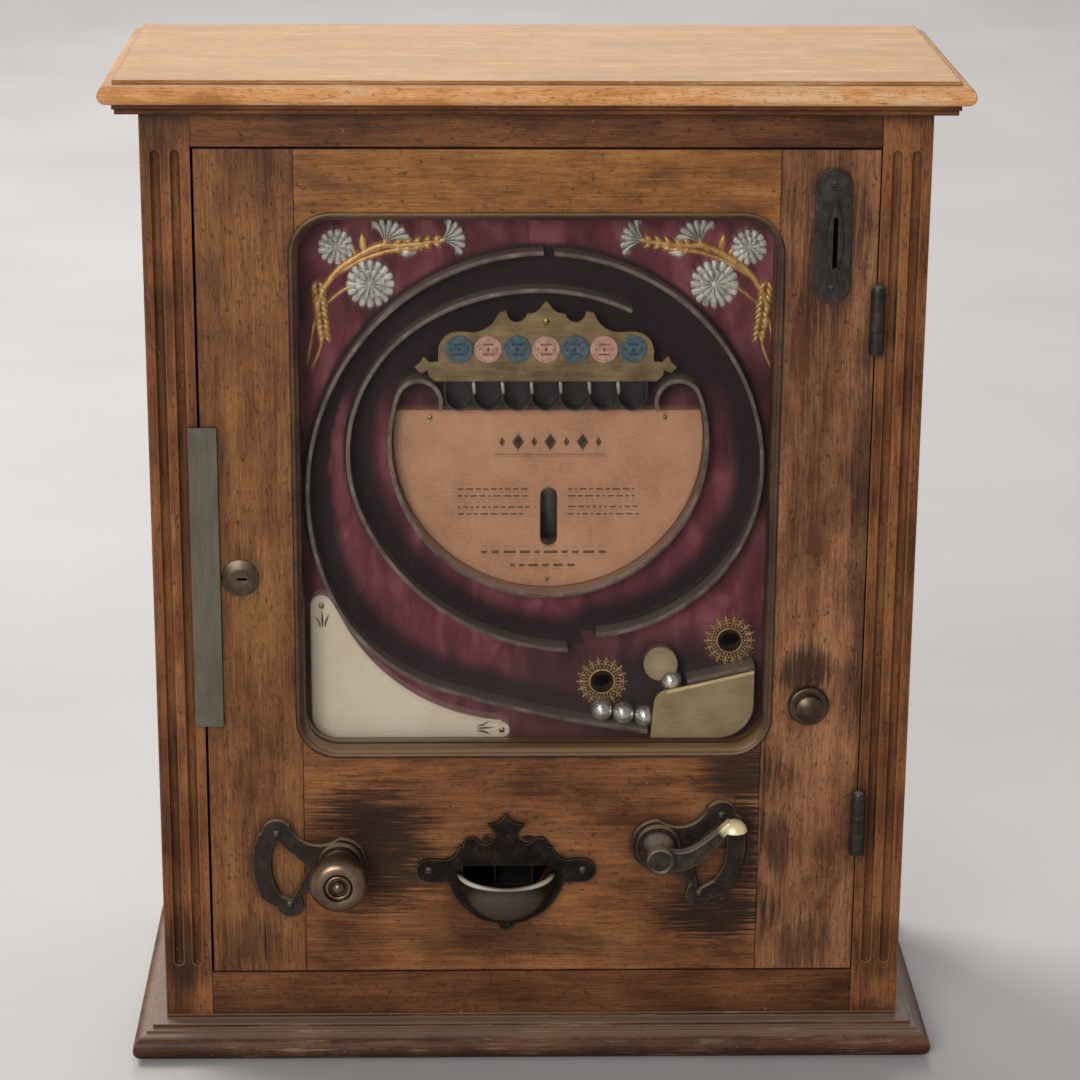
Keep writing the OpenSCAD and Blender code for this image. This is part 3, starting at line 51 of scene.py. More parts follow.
def toLinear(hexText):
    parts = [int(hexText[i:i + 2], 16) / 255 for i in (1, 3, 5)]
    return [p / 12.92 if p <= 0.04045 else ((p + 0.055) / 1.055) ** 2.4 for p in parts] + [1]


def linkSockets(node, links):
    for name, socket in links.items():
        node.id_data.links.new(socket, node.inputs[name])


# one node: its inputs are values or sockets to link, and a ramp has the places and tones of its stops;
# one of its outputs comes back
def addNode(tree, kind, inputs=None, stops=None, out=0, **settings):
    node = tree.nodes.new("ShaderNode" + kind)
    for name, value in settings.items():
        setattr(node, name, value)
    for name, value in (inputs or {}).items():
        if isinstance(value, bpy.types.NodeSocket):
            tree.links.new(value, node.inputs[name])
        else:
            node.inputs[name].default_value = value
    if stops:
        places, tones = stops
        ramp = node.color_ramp
        while len(ramp.elements) < len(places):
            ramp.elements.new(1)
        for element, place, tone in zip(ramp.elements, places, tones):
            element.position = place
            element.color = toLinear(tone)
    return node.outputs[out]


# a material, a way to add its nodes, its shader and the place on the piece
def newSurface(name, values):
    mat = bpy.data.materials.new(name)
    mat.use_nodes = True
    shader = mat.node_tree.nodes["Principled BSDF"]
    for key, value in values.items():
        shader.inputs[key].default_value = value
    add = functools.partial(addNode, mat.node_tree)
    return mat, add, shader, add("TexCoord", out="Object")


# a range's inputs: a value, where its effect begins and where it is full, its strength there and before
def span(value, ends, most=1, least=0):
    return {"Value": value, "From Min": ends[0], "From Max": ends[1], "To Min": least, "To Max": most}


# noise of a size in mm, some times longer along one axis
def drawnNoise(add, coords, size, axis, ratio, inputs):
    scale = [perMetre / size] * 3
    scale["xyz".index(axis)] /= ratio
    drawn = add("Mapping", {"Vector": coords, "Scale": scale})
    return add("TexNoise", {**inputs, "Vector": drawn, "Scale": 1})


# distance from a place in mm, as a share of its half sizes
def spotAway(add, coords, place, reach):
    sizes = {"Location": [v * mm for v in place], "Scale": [v * mm for v in reach]}
    spot = add("Mapping", {"Vector": coords, **sizes}, vector_type="TEXTURE")
    return add("VectorMath", {0: spot}, out="Value", operation="LENGTH")


# a rounded normal, the flat one, and how well they agree, which is less near an edge
def edgeNormals(add, radius):
    rounded = add("Bevel", {"Radius": radius * mm}, samples=6)
    flat = add("NewGeometry", out="Normal")
    return rounded, flat, add("VectorMath", {0: rounded, 1: flat}, out="Value", operation="DOT_PRODUCT")


# tones laid one over another, each with the socket that says how far it covers and, if need be, its range
def layTones(add, tone, covers):
    for hexText, cover, *limits in covers:
        if limits:
            cover = add("MapRange", span(cover, *limits))
        tone = add("MixRGB", {"Fac": cover, "Color1": tone, "Color2": toLinear(hexText)})
    return tone


# camera at the photograph's place, by its heading, dip and roll
cameraLook = {"place": (-0.0492, -2.1097, 1.018), "yaw": 1.492, "pitch": 17.898, "roll": -0.366,
              "lens": 107.98, "sensor": 36}
yaw, pitch, roll = (math.radians(cameraLook[k]) for k in ("yaw", "pitch", "roll"))
ahead = Vector((math.sin(yaw) * math.cos(pitch), math.cos(yaw) * math.cos(pitch), -math.sin(pitch)))
right = Vector((math.cos(yaw), -math.sin(yaw), 0))
down = ahead.cross(right)
imageRight = math.cos(roll) * right + math.sin(roll) * down
imageDown = -math.sin(roll) * right + math.cos(roll) * down
cameraData = bpy.data.cameras.new("photoCamera")
cameraData.sensor_fit = "HORIZONTAL"
cameraData.sensor_width = cameraLook["sensor"]
cameraData.lens = cameraLook["lens"]
camera = bpy.data.objects.new("photoCamera", cameraData)
turn = Matrix((imageRight, -imageDown, -ahead)).transposed().to_4x4()
camera.matrix_world = Matrix.Translation(cameraLook["place"]) @ turn
scene.collection.objects.link(camera)
scene.camera = camera
scene.view_settings.view_transform = "Standard"
print("camera set")

# Waxed oak, sawn and hand planed: straight growth streaks, short dark pores, golden and brown patches,
# dirt in corners and where hands went, a thin dull wax. Pores are drawn a little coarser than life to show.
oakLayers = {  # size across the grain in mm, how many times longer along it, detail
    "band": (14, 12, 3), "streak": (1.5, 24, 3), "pore": (0.8, 9, 2), "patch": (36, 1.9, 6),
    "speck": (2.8, 1.6, 3), "nick": (2.2, 1.4, 1), "stain": (1.8, 20, 3)}
oakSpans = {  # where a mark begins and where it is full
    "pores": (0.54, 0.64), "specks": (0.6, 0.69), "blotch": (0.5, 0.76), "nookShade": (0.96, 0.5),
    "mark": (1, 0.1), "ragged": (1.2, 2.05), "edge": (0.998, 0.93), "scuffThin": (0.56, 0.68),
    "scuffPlace": (0.44, 0.6), "nicks": (0.75, 0.79)}
oakDefaults = {
    "grain": "x", "stops": (0.28, 0.5, 0.74), "shares": {"band": 0.5, "streak": 0.5, "patch": 1.15},
    "coarse": 0.6, "swaySize": 220, "sway": 8, "pores": 0.46, "specks": 0.62, "grimeAndShade": 0.36, "nookShade": 0.75,
    "nookShadeReach": 14, "marks": (), "ragged": 2.4, "markEdge": 5, "edge": 1.1, "edgeMix": 0.92,
    "bleachAndToplightFrom": (0.75, 0.97), "nicks": 0.5, "roughness": (0.68, 0.44), "ior": 1.5, "specular": 0.2,
    "wax": 0.04, "waxRoughness": 0.3, "streakRelief": 0.35, "bump": 0.3, "bumpDepth": 0.4}
anyDepth = 1e6  # a mark reaches through the wood


def waxedOak(name, look):
    look = {**oakDefaults, **look}
    mat, add, shader, coords = newSurface(name, {
        "IOR": look["ior"], "Specular IOR Level": look["specular"], "Coat Weight": look["wax"],
        "Coat Roughness": look["waxRoughness"]})
    # the grain wanders a few millimetres
    sway = {"Vector": coords, "Scale": perMetre / look["swaySize"], "Detail": 1}
    sway = add("TexNoise", sway, out="Color")
    shift = add("VectorMath", {0: sway, 1: (0.5, 0.5, 0.5)}, operation="SUBTRACT")
    shift = add("VectorMath", {0: shift, "Scale": look["sway"] * mm}, operation="SCALE")
    swayed = add("VectorMath", {0: coords, 1: shift}, operation="ADD")
    layer = {}
    for key, (size, ratio, detail) in oakLayers.items():
        inputs = {"Detail": detail, "Roughness": look["coarse"]}
        layer[key] = drawnNoise(add, swayed, size, look["grain"], ratio, inputs)
    level = 0.5 - sum(look["shares"].values()) / 2
    for key, share in look["shares"].items():
        level = add("Math", {0: layer[key], 1: share, 2: level}, operation="MULTIPLY_ADD")
    wood = add("ValToRGB", {"Fac": level}, (look["stops"], look["tones"]))
    # old dirt in soft blotches, corners and recesses darkened as dirt and painted shade, and dark marks with
    # edges that follow the grain
    nookShade = add("AmbientOcclusion", {"Distance": look["nookShadeReach"] * mm}, out="AO", samples=4)
    blotch = add("MapRange", span(layer["patch"], oakSpans["blotch"], look["grimeAndShade"]))
    cornerShade = add("MapRange", span(nookShade, oakSpans["nookShade"], look["nookShade"]))
    dirtAndShade = add("Math", {0: blotch, 1: cornerShade}, operation="MAXIMUM")
    for x, z, halfWide, halfHigh, most in look["marks"]:
        away = spotAway(add, swayed, (x, 0, z), (halfWide, anyDepth, halfHigh))
        shade = add("MapRange", span(away, oakSpans["mark"]), interpolation_type="SMOOTHSTEP")
        ragged = add("Math", {0: layer["stain"], 1: look["ragged"], 2: shade}, operation="MULTIPLY_ADD")
        cover = add("MapRange", span(ragged, oakSpans["ragged"], most), interpolation_type="SMOOTHSTEP")
        near = add("Math", {0: shade, 1: look["markEdge"]}, operation="MULTIPLY", use_clamp=True)
        stain = add("Math", {0: cover, 1: near}, operation="MULTIPLY")
        dirtAndShade = add("Math", {0: dirtAndShade, 1: stain}, operation="MAXIMUM")
    rounded, flat, agree = edgeNormals(add, look["edge"])
    covers = [(look["poreTone"], layer["pore"], oakSpans["pores"], look["pores"]),
              (look["dirtAndShadeTone"], layer["speck"], oakSpans["specks"], look["specks"]),
              (look["dirtAndShadeTone"], dirtAndShade),
              (look["edgeTone"], agree, oakSpans["edge"], look["edgeMix"])]  # joints and arrises
    if "bleachAndToplight" in look:  # what faces up is paler: dust and sun-bleaching, and painted light from above
        paleAndLitTone, most = look["bleachAndToplight"]
        covers.append((paleAndLitTone, add("SeparateXYZ", {0: flat}, out="Z"), look["bleachAndToplightFrom"], most))
    if "scuff" in look:  # pale rubs along the grain, in some places only
        scuffTone, most = look["scuff"]
        thin = add("MapRange", span(layer["stain"], oakSpans["scuffThin"]))
        some = add("MapRange", span(layer["patch"], oakSpans["scuffPlace"], most))
        covers.append((scuffTone, add("Math", {0: thin, 1: some}, operation="MULTIPLY")))
    covers.append((look["nickTone"], layer["nick"], oakSpans["nicks"], look["nicks"]))
    relief = {0: layer["streak"], 1: look["streakRelief"], 2: layer["pore"]}
    linkSockets(shader, {
        "Base Color": layTones(add, wood, covers),
        "Roughness": add("MapRange", span(layer["patch"], noiseEnds, *look["roughness"])),
        "Normal": add("Bump", {
            "Height": add("Math", relief, operation="MULTIPLY_ADD"), "Normal": rounded,
            "Strength": look["bump"], "Distance": look["bumpDepth"] * mm}, invert=True)})
    return mat


# x, z, half width and half height in mm, strength: dark marks by the knob, lever, button, coin plate, cup
# and foot, and a crack; the last three are painted shade on the wood seen through the cup plate's two
# notches and round the cup's mouth
frontStainsAndShade = [
    (-108, 150, 66, 72, 0.9), (-92, 128, 44, 26, 0.75), (126, 102, 58, 36, 0.95), (142, 148, 22, 76, 0.95),
    (140, 202, 48, 32, 0.85), (166, 150, 14, 36, 0.7), (180, 274, 30, 30, 0.85), (188, 560, 34, 84, 0.75),
    (-192, 344, 24, 34, 0.5), (-16, 78, 130, 20, 0.4), (-190, 80, 34, 34, 0.5), (-190, 618, 40, 16, 0.2),
    (214, 380, 16, 240, 0.6), (186, 78, 30, 30, 0.6), (-18, 150, 66, 34, 0.35), (-182.7, 80, 1.6, 25, 1),
    (-32.5, 156, 7, 5, 1), (-4.5, 156, 7, 5, 1), (-18.5, 133, 60, 36, 1)]
darkWood = {"poreTone": "#26160d", "dirtAndShadeTone": "#1f130c", "edgeTone": "#150c07", "nickTone": "#a9794c"}
oakLooks = {
    "oakUprightLeft": dict(
        grain="z", tones=("#4e2c16", "#784b29", "#9b6a3c"), marks=frontStainsAndShade, on="door_left_stile"),
    "oakUprightRight": dict(
        grain="z", tones=("#5a351e", "#895a3b", "#b07b53"), marks=frontStainsAndShade, on="door_right_stile"),
    "oakTopRail": dict(
        tones=("#5e391b", "#8c592d", "#af7b40"), marks=frontStainsAndShade, grimeAndShade=0.25, pores=0.34,
        on="door_top_rail"),
    "oakBottomPanel": dict(
        tones=("#522e19", "#7d4d2b", "#a46e40"), marks=frontStainsAndShade, pores=0.4, nookShade=0.9,
        on="door_bottom_panel"),
    "oakCaseRails": dict(
        tones=("#432615", "#673d23", "#865531"), nookShade=0.5, specular=0.16, on="case_rails"),
    "oakPilasters": dict(
        grain="z", tones=("#46260f", "#744425", "#a0683a"), edgeTone="#b0743f", edge=1.6, edgeMix=0.5,
        # darker at the foot of each pilaster
        nookShade=1, marks=((-236, 72, 26, 40, 0.7), (236, 72, 26, 40, 0.6)),
        on="left_pilaster right_pilaster"),
    "oakSides": dict(
        grain="z", tones=("#4a2c18", "#6e4629", "#8f613a"), grimeAndShade=0.2,
        on="left_side_panel right_side_panel"),
    # the base's upward faces are paler: dust, and painted light from above
    "oakBase": dict(
        tones=("#361f12", "#583724", "#7d563a"), edgeTone="#a57a54", edge=2, edgeMix=0.45,
        bleachAndToplight=("#998575", 0.55), scuff=("#a99585", 0.5), on="plinth_board"),
    "oakMouldings": dict(
        tones=("#42230f", "#683b1d", "#8a542c"), nookShade=0.65, specular=0.14, on="cornice_moulding"),
    # the top's upward faces are paler: sun-bleaching, and painted light from above
    "oakTopBoard": dict(
        tones=("#b07640", "#dc9d65", "#efc092"), poreTone="#7d5230", dirtAndShadeTone="#70461f",
        edgeTone="#8a5427", nickTone="#e8d3b4", grimeAndShade=0.3, pores=0.5, specks=0.55, edge=1.8, edgeMix=0.5,
        specular=0.1, wax=0, bleachAndToplight=("#a48867", 0.56), scuff=("#dcc19d", 0.95), on="top_board"),
    # window moulding: dark tones as painted shade on the top and side runs; the pale tone on what faces up
    # is a painted highlight on the bottom run
    "oakWindowMoulding": dict(
        tones=("#2c1a10", "#472f1e", "#66472c"), edgeTone="#6e4f32", edge=1.3, edgeMix=0.4,
        wax=0.5, nookShade=0.7, bleachAndToplight=("#a98258", 0.5), bleachAndToplightFrom=(0.12, 0.6),
        on="window_moulding glazing_bead"),
    "stainedPine": dict(
        tones=("#1d1310", "#2b1d16", "#3c291e"), on="playfield_surround playfield_board"),
    "rawPine": dict(
        grain="z", tones=("#86643c", "#a38051", "#bb9a68"), poreTone="#7b5a38", dirtAndShadeTone="#5d452d",
        edgeTone="#6b4e33", nickTone="#6b4e33", wax=0, on="back_board"),
}
finishOf = {}
for name, look in oakLooks.items():
    finishOf.update(dict.fromkeys(look["on"].split(), waxedOak(name, {**darkWood, **look})))
print("woods:", len(oakLooks))

# Metals and lacquers that share one build: a mottled tone, marks of their making, and worn edges.
# mottle and rub are sizes in mm; rubAxis is the way the rubbing runs.
metalSpans = {"edge": (0.992, 0.84), "patchy": (0.35, 0.6), "outer": (0.72, 0.92), "grimeAndShade": (0.9, 0.4),
              "upper": (0.3, 0.8), "rubbedAndSheen": (1, 0.6)}
metalDefaults = {
    "metallic": 0, "stops": (0.3, 0.52, 0.75), "ior": 1.5, "specular": 0.5, "coarse": 0.62, "rubAxis": "x",
    "rubRatio": 1, "rubLift": 0.1, "edge": 0.5, "edgeMix": 0.5, "leastWorn": 0.35, "nookShadeReach": 4,
    "grimeAndShade": 0.6, "grimeAndShadeTone": "#110c09", "rubbedAndSheen": (), "bump": 0.12, "bumpDepth": 0.3}


def workedMetal(name, look):
    look = {**metalDefaults, "edgeTone": look["tones"][2], **look}
    mat, add, shader, coords = newSurface(
        name, {"Metallic": look["metallic"], "Specular IOR Level": look["specular"]})
    if look["metallic"] == 0:
        shader.inputs["IOR"].default_value = look["ior"]
    mottle = add("TexNoise", {"Vector": coords, "Scale": perMetre / look["mottle"], "Detail": 5,
                              "Roughness": look["coarse"]})
    rub = drawnNoise(add, coords, look["rub"], look["rubAxis"], look["rubRatio"], {"Detail": 3})
    lift = add("MapRange", span(rub, noiseEnds, look["rubLift"], -look["rubLift"]))
    level = add("Math", {0: mottle, 1: lift}, operation="ADD")
    base = add("ValToRGB", {"Fac": level}, (look["stops"], look["tones"]))
    # edges are worn in patches, but not in inner corners, which are darkened as grime and painted shade in
    # the recesses
    rounded, _, agree = edgeNormals(add, look["edge"])
    nookShade = add("AmbientOcclusion", {"Distance": look["nookShadeReach"] * mm}, out="AO", samples=4,
               only_local=True)
    worn = add("MapRange", span(agree, metalSpans["edge"], look["edgeMix"]))
    patchy = add("MapRange", span(mottle, metalSpans["patchy"], 1, look["leastWorn"]))
    outer = add("MapRange", span(nookShade, metalSpans["outer"]))
    for share in (patchy, outer):
        worn = add("Math", {0: worn, 1: share}, operation="MULTIPLY")
    covers = [(look["edgeTone"], worn), (look["grimeAndShadeTone"], nookShade, metalSpans["grimeAndShade"], look["grimeAndShade"])]
    if "upper" in look:  # what faces up is lighter: a painted highlight
        paintedHighlightTone, most = look["upper"]
        covers.append((paintedHighlightTone, add("SeparateXYZ", {0: rounded}, out="Z"), metalSpans["upper"], most))
    # a lighter place by its middle and half sizes in mm: rubbed metal such as the lever's pad, and painted
    # sheen on the cup's bowl
    for place, reach, rubbedAndSheenTone, most in look["rubbedAndSheen"]:
        away = spotAway(add, coords, place, reach)
        near = add("MapRange", span(away, metalSpans["rubbedAndSheen"], most), interpolation_type="SMOOTHSTEP")
        covers.append((rubbedAndSheenTone, near))
    linkSockets(shader, {
        "Base Color": layTones(add, base, covers),
        "Roughness": add("MapRange", span(mottle, noiseEnds, *look["roughness"])),
        "Normal": add("Bump", {"Height": rub, "Normal": rounded, "Strength": look["bump"],
                               "Distance": look["bumpDepth"] * mm})})
    return mat


metalLooks = {
    # cast iron, japanned black and handled for years: brown through the lacquer, bare on the edges; a
    # painted highlight on what faces up
    "castIronJapanned": dict(
        metallic=0.2, tones=("#1a120d", "#291d16", "#3c2e24"), edgeTone="#8f7553", edgeMix=0.8, edge=1.2,
        mottle=9, rub=1.6, roughness=(0.52, 0.38), bump=0.25, specular=0.3, upper=("#a8916c", 0.9),
        on="quadrant_plates"),
    # the cup: the same, its lip rubbed to bare steel by fingers; a painted sheen on the bowl's belly
    "castIronRubbedLip": dict(
        metallic=0.3, tones=("#130e0a", "#211913", "#352a22"), edgeTone="#8a7454", edgeMix=0.8, edge=1.1,
        specular=0.12, mottle=10, rub=1.6, roughness=(0.64, 0.48), bump=0.2,
        # first place: painted sheen on the bowl's belly; second: the lip rubbed to bare steel
        rubbedAndSheen=(((-18.5, -122, 116), (34, 20, 22), "#675a4d", 0.65),
                ((-18.5, -114.5, 133.4), (44, 19, 2.6), "#d9d1c0", 1)), on="payout_cup"),
    # wrought iron plate, blacked; a painted highlight on what faces up
    "ironPlateBlacked": dict(
        metallic=0.4, tones=("#1c1613", "#2e2622", "#463b34"), edgeTone="#7d6c5a", edge=0.6, mottle=7,
        rub=1.2, rubAxis="z", rubRatio=5, roughness=(0.5, 0.36), upper=("#8c7d6b", 0.7),
        on="coin_slot_plate case_hinge_leaves door_hinge_leaves hinge_pins door_screws"),
    # mild steel strip, dulled to grey brown
    "steelStripDull": dict(
        metallic=0.75, tones=("#5a5347", "#645d50", "#6f6859"), edgeTone="#8f8776", mottle=30, rub=1.4,
        rubAxis="z", rubRatio=14, roughness=(0.56, 0.42), on="door_edge_strip"),
    # rolled brass sheet under aged lacquer: olive and satin
    "brassSheetAged": dict(
        metallic=0.5, tones=("#62523a", "#83704f", "#9d8964"), edgeTone="#cbb27a", edge=0.6, edgeMix=0.6,
        mottle=16, rub=0.9, rubRatio=18, roughness=(0.5, 0.36), on="cup_plaque"),
    # the same sheet, cleaner: an even pale olive; a painted highlight on what faces up, such as the cover's
    # top edge
    "brassSheetDull": dict(
        metallic=0.4, tones=("#8c7c60", "#a1916f", "#b2a27e"), edgeTone="#d8c58c", edge=0.7, edgeMix=0.8,
        mottle=24, rub=0.9, rubRatio=22, roughness=(0.52, 0.4), upper=("#f3e2a8", 1),
        rubbedAndSheen=(((85.3, -62, 272.3), (17, 14, 17), "#cdc19d", 0.85),), on="hammer_cover ball_gate"),
    # turned bronze, browned and polished by hands
    "bronzeTurned": dict(
        metallic=0.85, tones=("#5c4a3e", "#78624f", "#957c67"), edgeTone="#bda283", edgeMix=0.35, mottle=18,
        rub=0.7, roughness=(0.36, 0.26), bump=0.05, grimeAndShade=0.9, on="payout_knob"),
    # brass turnings, browned
    "brassTurned": dict(
        metallic=0.85, tones=("#3e3127", "#58493b", "#73604e"), edgeTone="#a38c74", edgeMix=0.45, mottle=14,
        rub=0.7, roughness=(0.42, 0.3), bump=0.06, grimeAndShade=0.85,
        on="push_button button_bezel lock_body lock_plug payout_slide"),
    # cast lever: blacked body, arrises worn grey, a painted highlight on what faces up, thumb pad down to
    # bare brass
    "castLeverRubbed": dict(
        metallic=0.4, tones=("#211914", "#392d25", "#54463a"), edgeTone="#b3a48c", edgeMix=0.9, edge=1.1,
        upper=("#a39786", 0.75), mottle=8, rub=1.1, roughness=(0.44, 0.28),
        rubbedAndSheen=(((136, -115, 174), (16, 16, 12), "#ffeebc", 1),), on="trigger_lever"),
    # cold drawn steel flat, bent on edge and dulled; a painted highlight on what faces up
    "steelRailDrawn": dict(
        metallic=0.55, tones=("#524843", "#736761", "#938880"), edgeTone="#c2bab0", edgeMix=0.8, mottle=11,
        rub=0.9, rubAxis="y", rubRatio=8, roughness=(0.46, 0.32), upper=("#b9afa2", 0.75),
        on="outer_left_rail right_rails inner_rail card_ring_rail"),
    # hardened steel balls, polished
    "steelBallPolished": dict(
        metallic=0.85, tones=("#d0d0cd", "#e4e4e1", "#f2f2f0"), grimeAndShade=0, mottle=4, rub=1.4,
        roughness=(0.16, 0.07), bump=0.02, on="steel_balls gate_ball"),
    # bright steel bar for shafts and links
    "steelBarBright": dict(
        metallic=1, tones=("#6f6d68", "#918f89", "#aeaca6"), edgeTone="#c8c6c0", mottle=10, rub=0.8,
        roughness=(0.42, 0.26), on="knob_shaft trigger_shaft trigger_link hammer"),
    # tinned sheet, folded and soldered
    "tinnedSheet": dict(
        metallic=0.9, tones=("#7a7a74", "#9b9b95", "#b7b7b1"), edgeTone="#5f5d57", mottle=22, rub=2.2,
        roughness=(0.5, 0.3), on="cash_tin coin_chute token_tube"),
    # the chute behind the cup, sheet iron gone black; the near-black tone is also painted shade inside the
    # cup
    "sheetIronBlackAndShaded": dict(
        metallic=0.2, tones=("#0b0908", "#14110f", "#1e1916"), edge=0.4, mottle=12, rub=2,
        roughness=(0.62, 0.48), on="check_chute"),
    # sheet iron cups, stove enamelled black, grey on their lips
    "enamelBlackStoved": dict(
        tones=("#0e0c0b", "#171412", "#241f1c"), edgeTone="#6b665f", edgeMix=0.75, mottle=8,
        rub=1.5, roughness=(0.46, 0.3), on="cup_row"),
    # stamped card tokens, glazed blue and pink, pale on the rim
    "tokenGlazedBlue": dict(
        tones=("#2c4754", "#44606d", "#637f8c"), edgeTone="#9fb0b6", mottle=3.5, rub=1.2,
        roughness=(0.5, 0.32), on="blue_tokens"),
    "tokenGlazedPink": dict(
        tones=("#a3786a", "#c79d8d", "#d8b5a6"), edgeTone="#e0c8bb", mottle=3.5, rub=1.2,
        roughness=(0.5, 0.32), on="pink_tokens"),
    # ivory painted metal plate, bare grey along its bevelled edge
    "platePaintedIvory": dict(
        tones=("#e6d9c0", "#efe4cf", "#f4ebd9"), edgeTone="#77716a", edgeMix=0.85, edge=1.3,
        grimeAndShade=0.3, mottle=60, rub=2.4, roughness=(0.5, 0.38), bump=0.04, on="corner_plate"),
    # pasteboard card, browned, darker towards its edge
    "pasteboardBrowned": dict(
        tones=("#aa7c5d", "#c39473", "#cfa282"), edgeTone="#7a573d", edgeMix=0.8, edge=1.6,
        grimeAndShade=0.4, grimeAndShadeTone="#5a3b28", mottle=46, rub=1.3, rubRatio=2.5, roughness=(0.86, 0.74),
        on="instruction_card"),
}
for name, look in metalLooks.items():
    finishOf.update(dict.fromkeys(look["on"].split(), workedMetal(name, look)))
print("metals, enamels and card:", len(metalLooks))

# Drawn window glass, slightly grey: light goes through, the gloss comes from its surface
glassLook = {"tones": ("#efedea", "#f6f4f2"), "haze": 60, "roughness": 0.015, "ior": 1.5, "specular": 0.3,
             "clear": 0.88}
glass, add, shader, coords = newSurface("windowGlassDrawn", {
    "Roughness": glassLook["roughness"], "IOR": glassLook["ior"], "Transmission Weight": 1,
    "Specular IOR Level": glassLook["specular"]})
haze = add("TexNoise", {"Vector": coords, "Scale": perMetre / glassLook["haze"], "Detail": 3})
linkSockets(shader, {"Base Color": add("ValToRGB", {"Fac": haze}, (noiseEnds, glassLook["tones"]))})
through = add("BsdfTransparent", {"Color": toLinear(glassLook["tones"][1])})
rays = add("LightPath").node.outputs
# soft light passes the thin pane unbent
soft = add("Math", {0: rays["Is Shadow Ray"], 1: rays["Is Diffuse Ray"]}, operation="MAXIMUM")
straight = add("Math", {0: soft, 1: glassLook["clear"]}, operation="MAXIMUM")
either = add("MixShader", {"Fac": straight, 1: shader.outputs[0], 2: through})
linkSockets(glass.node_tree.nodes["Material Output"], {"Surface": either})
finishOf["window_glass"] = glass

for node, finish in finishOf.items():
    for slot in nodes[node].material_slots:
        slot.material = finish
print("finishes set:", len(finishOf), "nodes")


# Pieces in mesh code. A place on the velvet is (x, z) in mm and a height out of the cloth.
def onCloth(x, z, high, depth=velvetDepth):
    return Vector((x * mm, (frontY + depth - high) * mm, z * mm))


def polar(x, z, radius, angle):
    return x + radius * math.cos(angle), z + radius * math.sin(angle)


# a place along and beside a heading in degrees
def turned(x, z, heading, along, aside):
    c, s = math.cos(math.radians(heading)), math.sin(math.radians(heading))
    return x + c * along - s * aside, z + s * along + c * aside


def roundAngles(count, shift=0):
    return [fullTurn * k / count + shift for k in range(count)]


def makePiece(name, bm, finish, smooth=True):
    bmesh.ops.recalc_face_normals(bm, faces=bm.faces)
    mesh = bpy.data.meshes.new(name)
    bm.to_mesh(mesh)
    bm.free()
    for face in mesh.polygons:
        face.use_smooth = smooth
    piece = bpy.data.objects.new(name, mesh)
    scene.collection.objects.link(piece)
    mesh.materials.append(finish)
    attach(piece, "door")
    return piece


# rows of points joined into a skin, closed round and shut at both ends
def skinRows(bm, rows, shut=True):
    rings = [[bm.verts.new(p) for p in row] for row in rows]
    for a, b in zip(rings, rings[1:]):
        for i in range(len(a)):
            j = (i + 1) % len(a)
            bm.faces.new((a[i], a[j], b[j], b[i]))
    if shut:
        bm.faces.new(rings[0])
        bm.faces.new(list(reversed(rings[-1])))


# points along bends of a radius and a turn, as (x, z, heading, side of the bend)
def bendRun(start, heading, bends):
    step = 2
    x, z = start
    run = []
    for radius, turn in bends:
        side = math.copysign(1, turn)
        h = math.radians(heading)
        cx, cz = x - radius * side * math.sin(h), z + radius * side * math.cos(h)
        count = max(2, math.ceil(abs(math.radians(turn)) * radius / step))
        for k in range(count + 1):
            a = math.radians(heading + turn * k / count)
            x, z = cx + radius * side * math.sin(a), cz - radius * side * math.cos(a)
            run.append((x, z, math.degrees(a), side))
        heading += turn
    return run


# Silk velvet, woven and brushed: dark face on, pink sheen on the slant, worn black where the balls run
velvetLook = {
    "field": (-179.9, 180.7, 196, 606.5), "cell": 2.5, "thick": 0.7, "sink": (0.02, 0.03), "seed": 7,
    "holes": [(46.7, 255.6, 9.6), (132.1, 284.7, 9.6), (88, 195, 5), (85.3, 272.3, 5)],  # x, z, radius
    "slot": (9.8, 372.5, 13.5, 43),  # x, z, width, length
    "lane": {True: 23, False: 5},  # reach of the wear inside and outside of a rail's bend
    "upper": (425, 40, 0.7),  # the upper lanes are worn all across: from this height, over this rise, so far
    "worn": [(96, 252, 104, 50, 0.75), (30, 262, 70, 40, 0.5), (150, 420, 40, 120, 0.3)],
    "wornSlope": 1.6, "tones": ("#4f2d35", "#713d46", "#935962"), "stops": (0.3, 0.5, 0.7),
    "wornCover": ("#2a2327", (0.05, 0.7), 0.95),  # tone, ends and most of a range
    "dustCover": ("#5a4d4e", (0.3, 0.22), 0.35),
    "stroke": (17, "z", 40 / 17), "pile": 1.1, "pileLift": 0.04,  # coarser than the real pile
    "roughness": (0.78, 0.95), "sheen": 0.16, "sheenRoughness": 0.4, "sheenTone": "#b8566e",
    "specular": 0.08, "bump": 0.04, "bumpDepth": 0.3}
trackRuns = [
    bendRun((5, 554), 181, [(154, 54.6), (170, 60), (119, 46.6), (783, 10.4)]),
    bendRun((12.1, 553.5), -3, [(145, -85.4), (116, -87.4)]),
    bendRun((62.3, 515.8), 154.5, [(140, 59), (105, 79.4), (155, 64.8)])]
trackPoints = [p for run in trackRuns for p in run]
innerFrom = len(trackRuns[0]) + len(trackRuns[1])
nearTrack = kdtree.KDTree(len(trackPoints))
for i, p in enumerate(trackPoints):
    nearTrack.insert((p[0], p[1], 0), i)
nearTrack.balance()


def clip(value):
    return min(1, max(0, value))


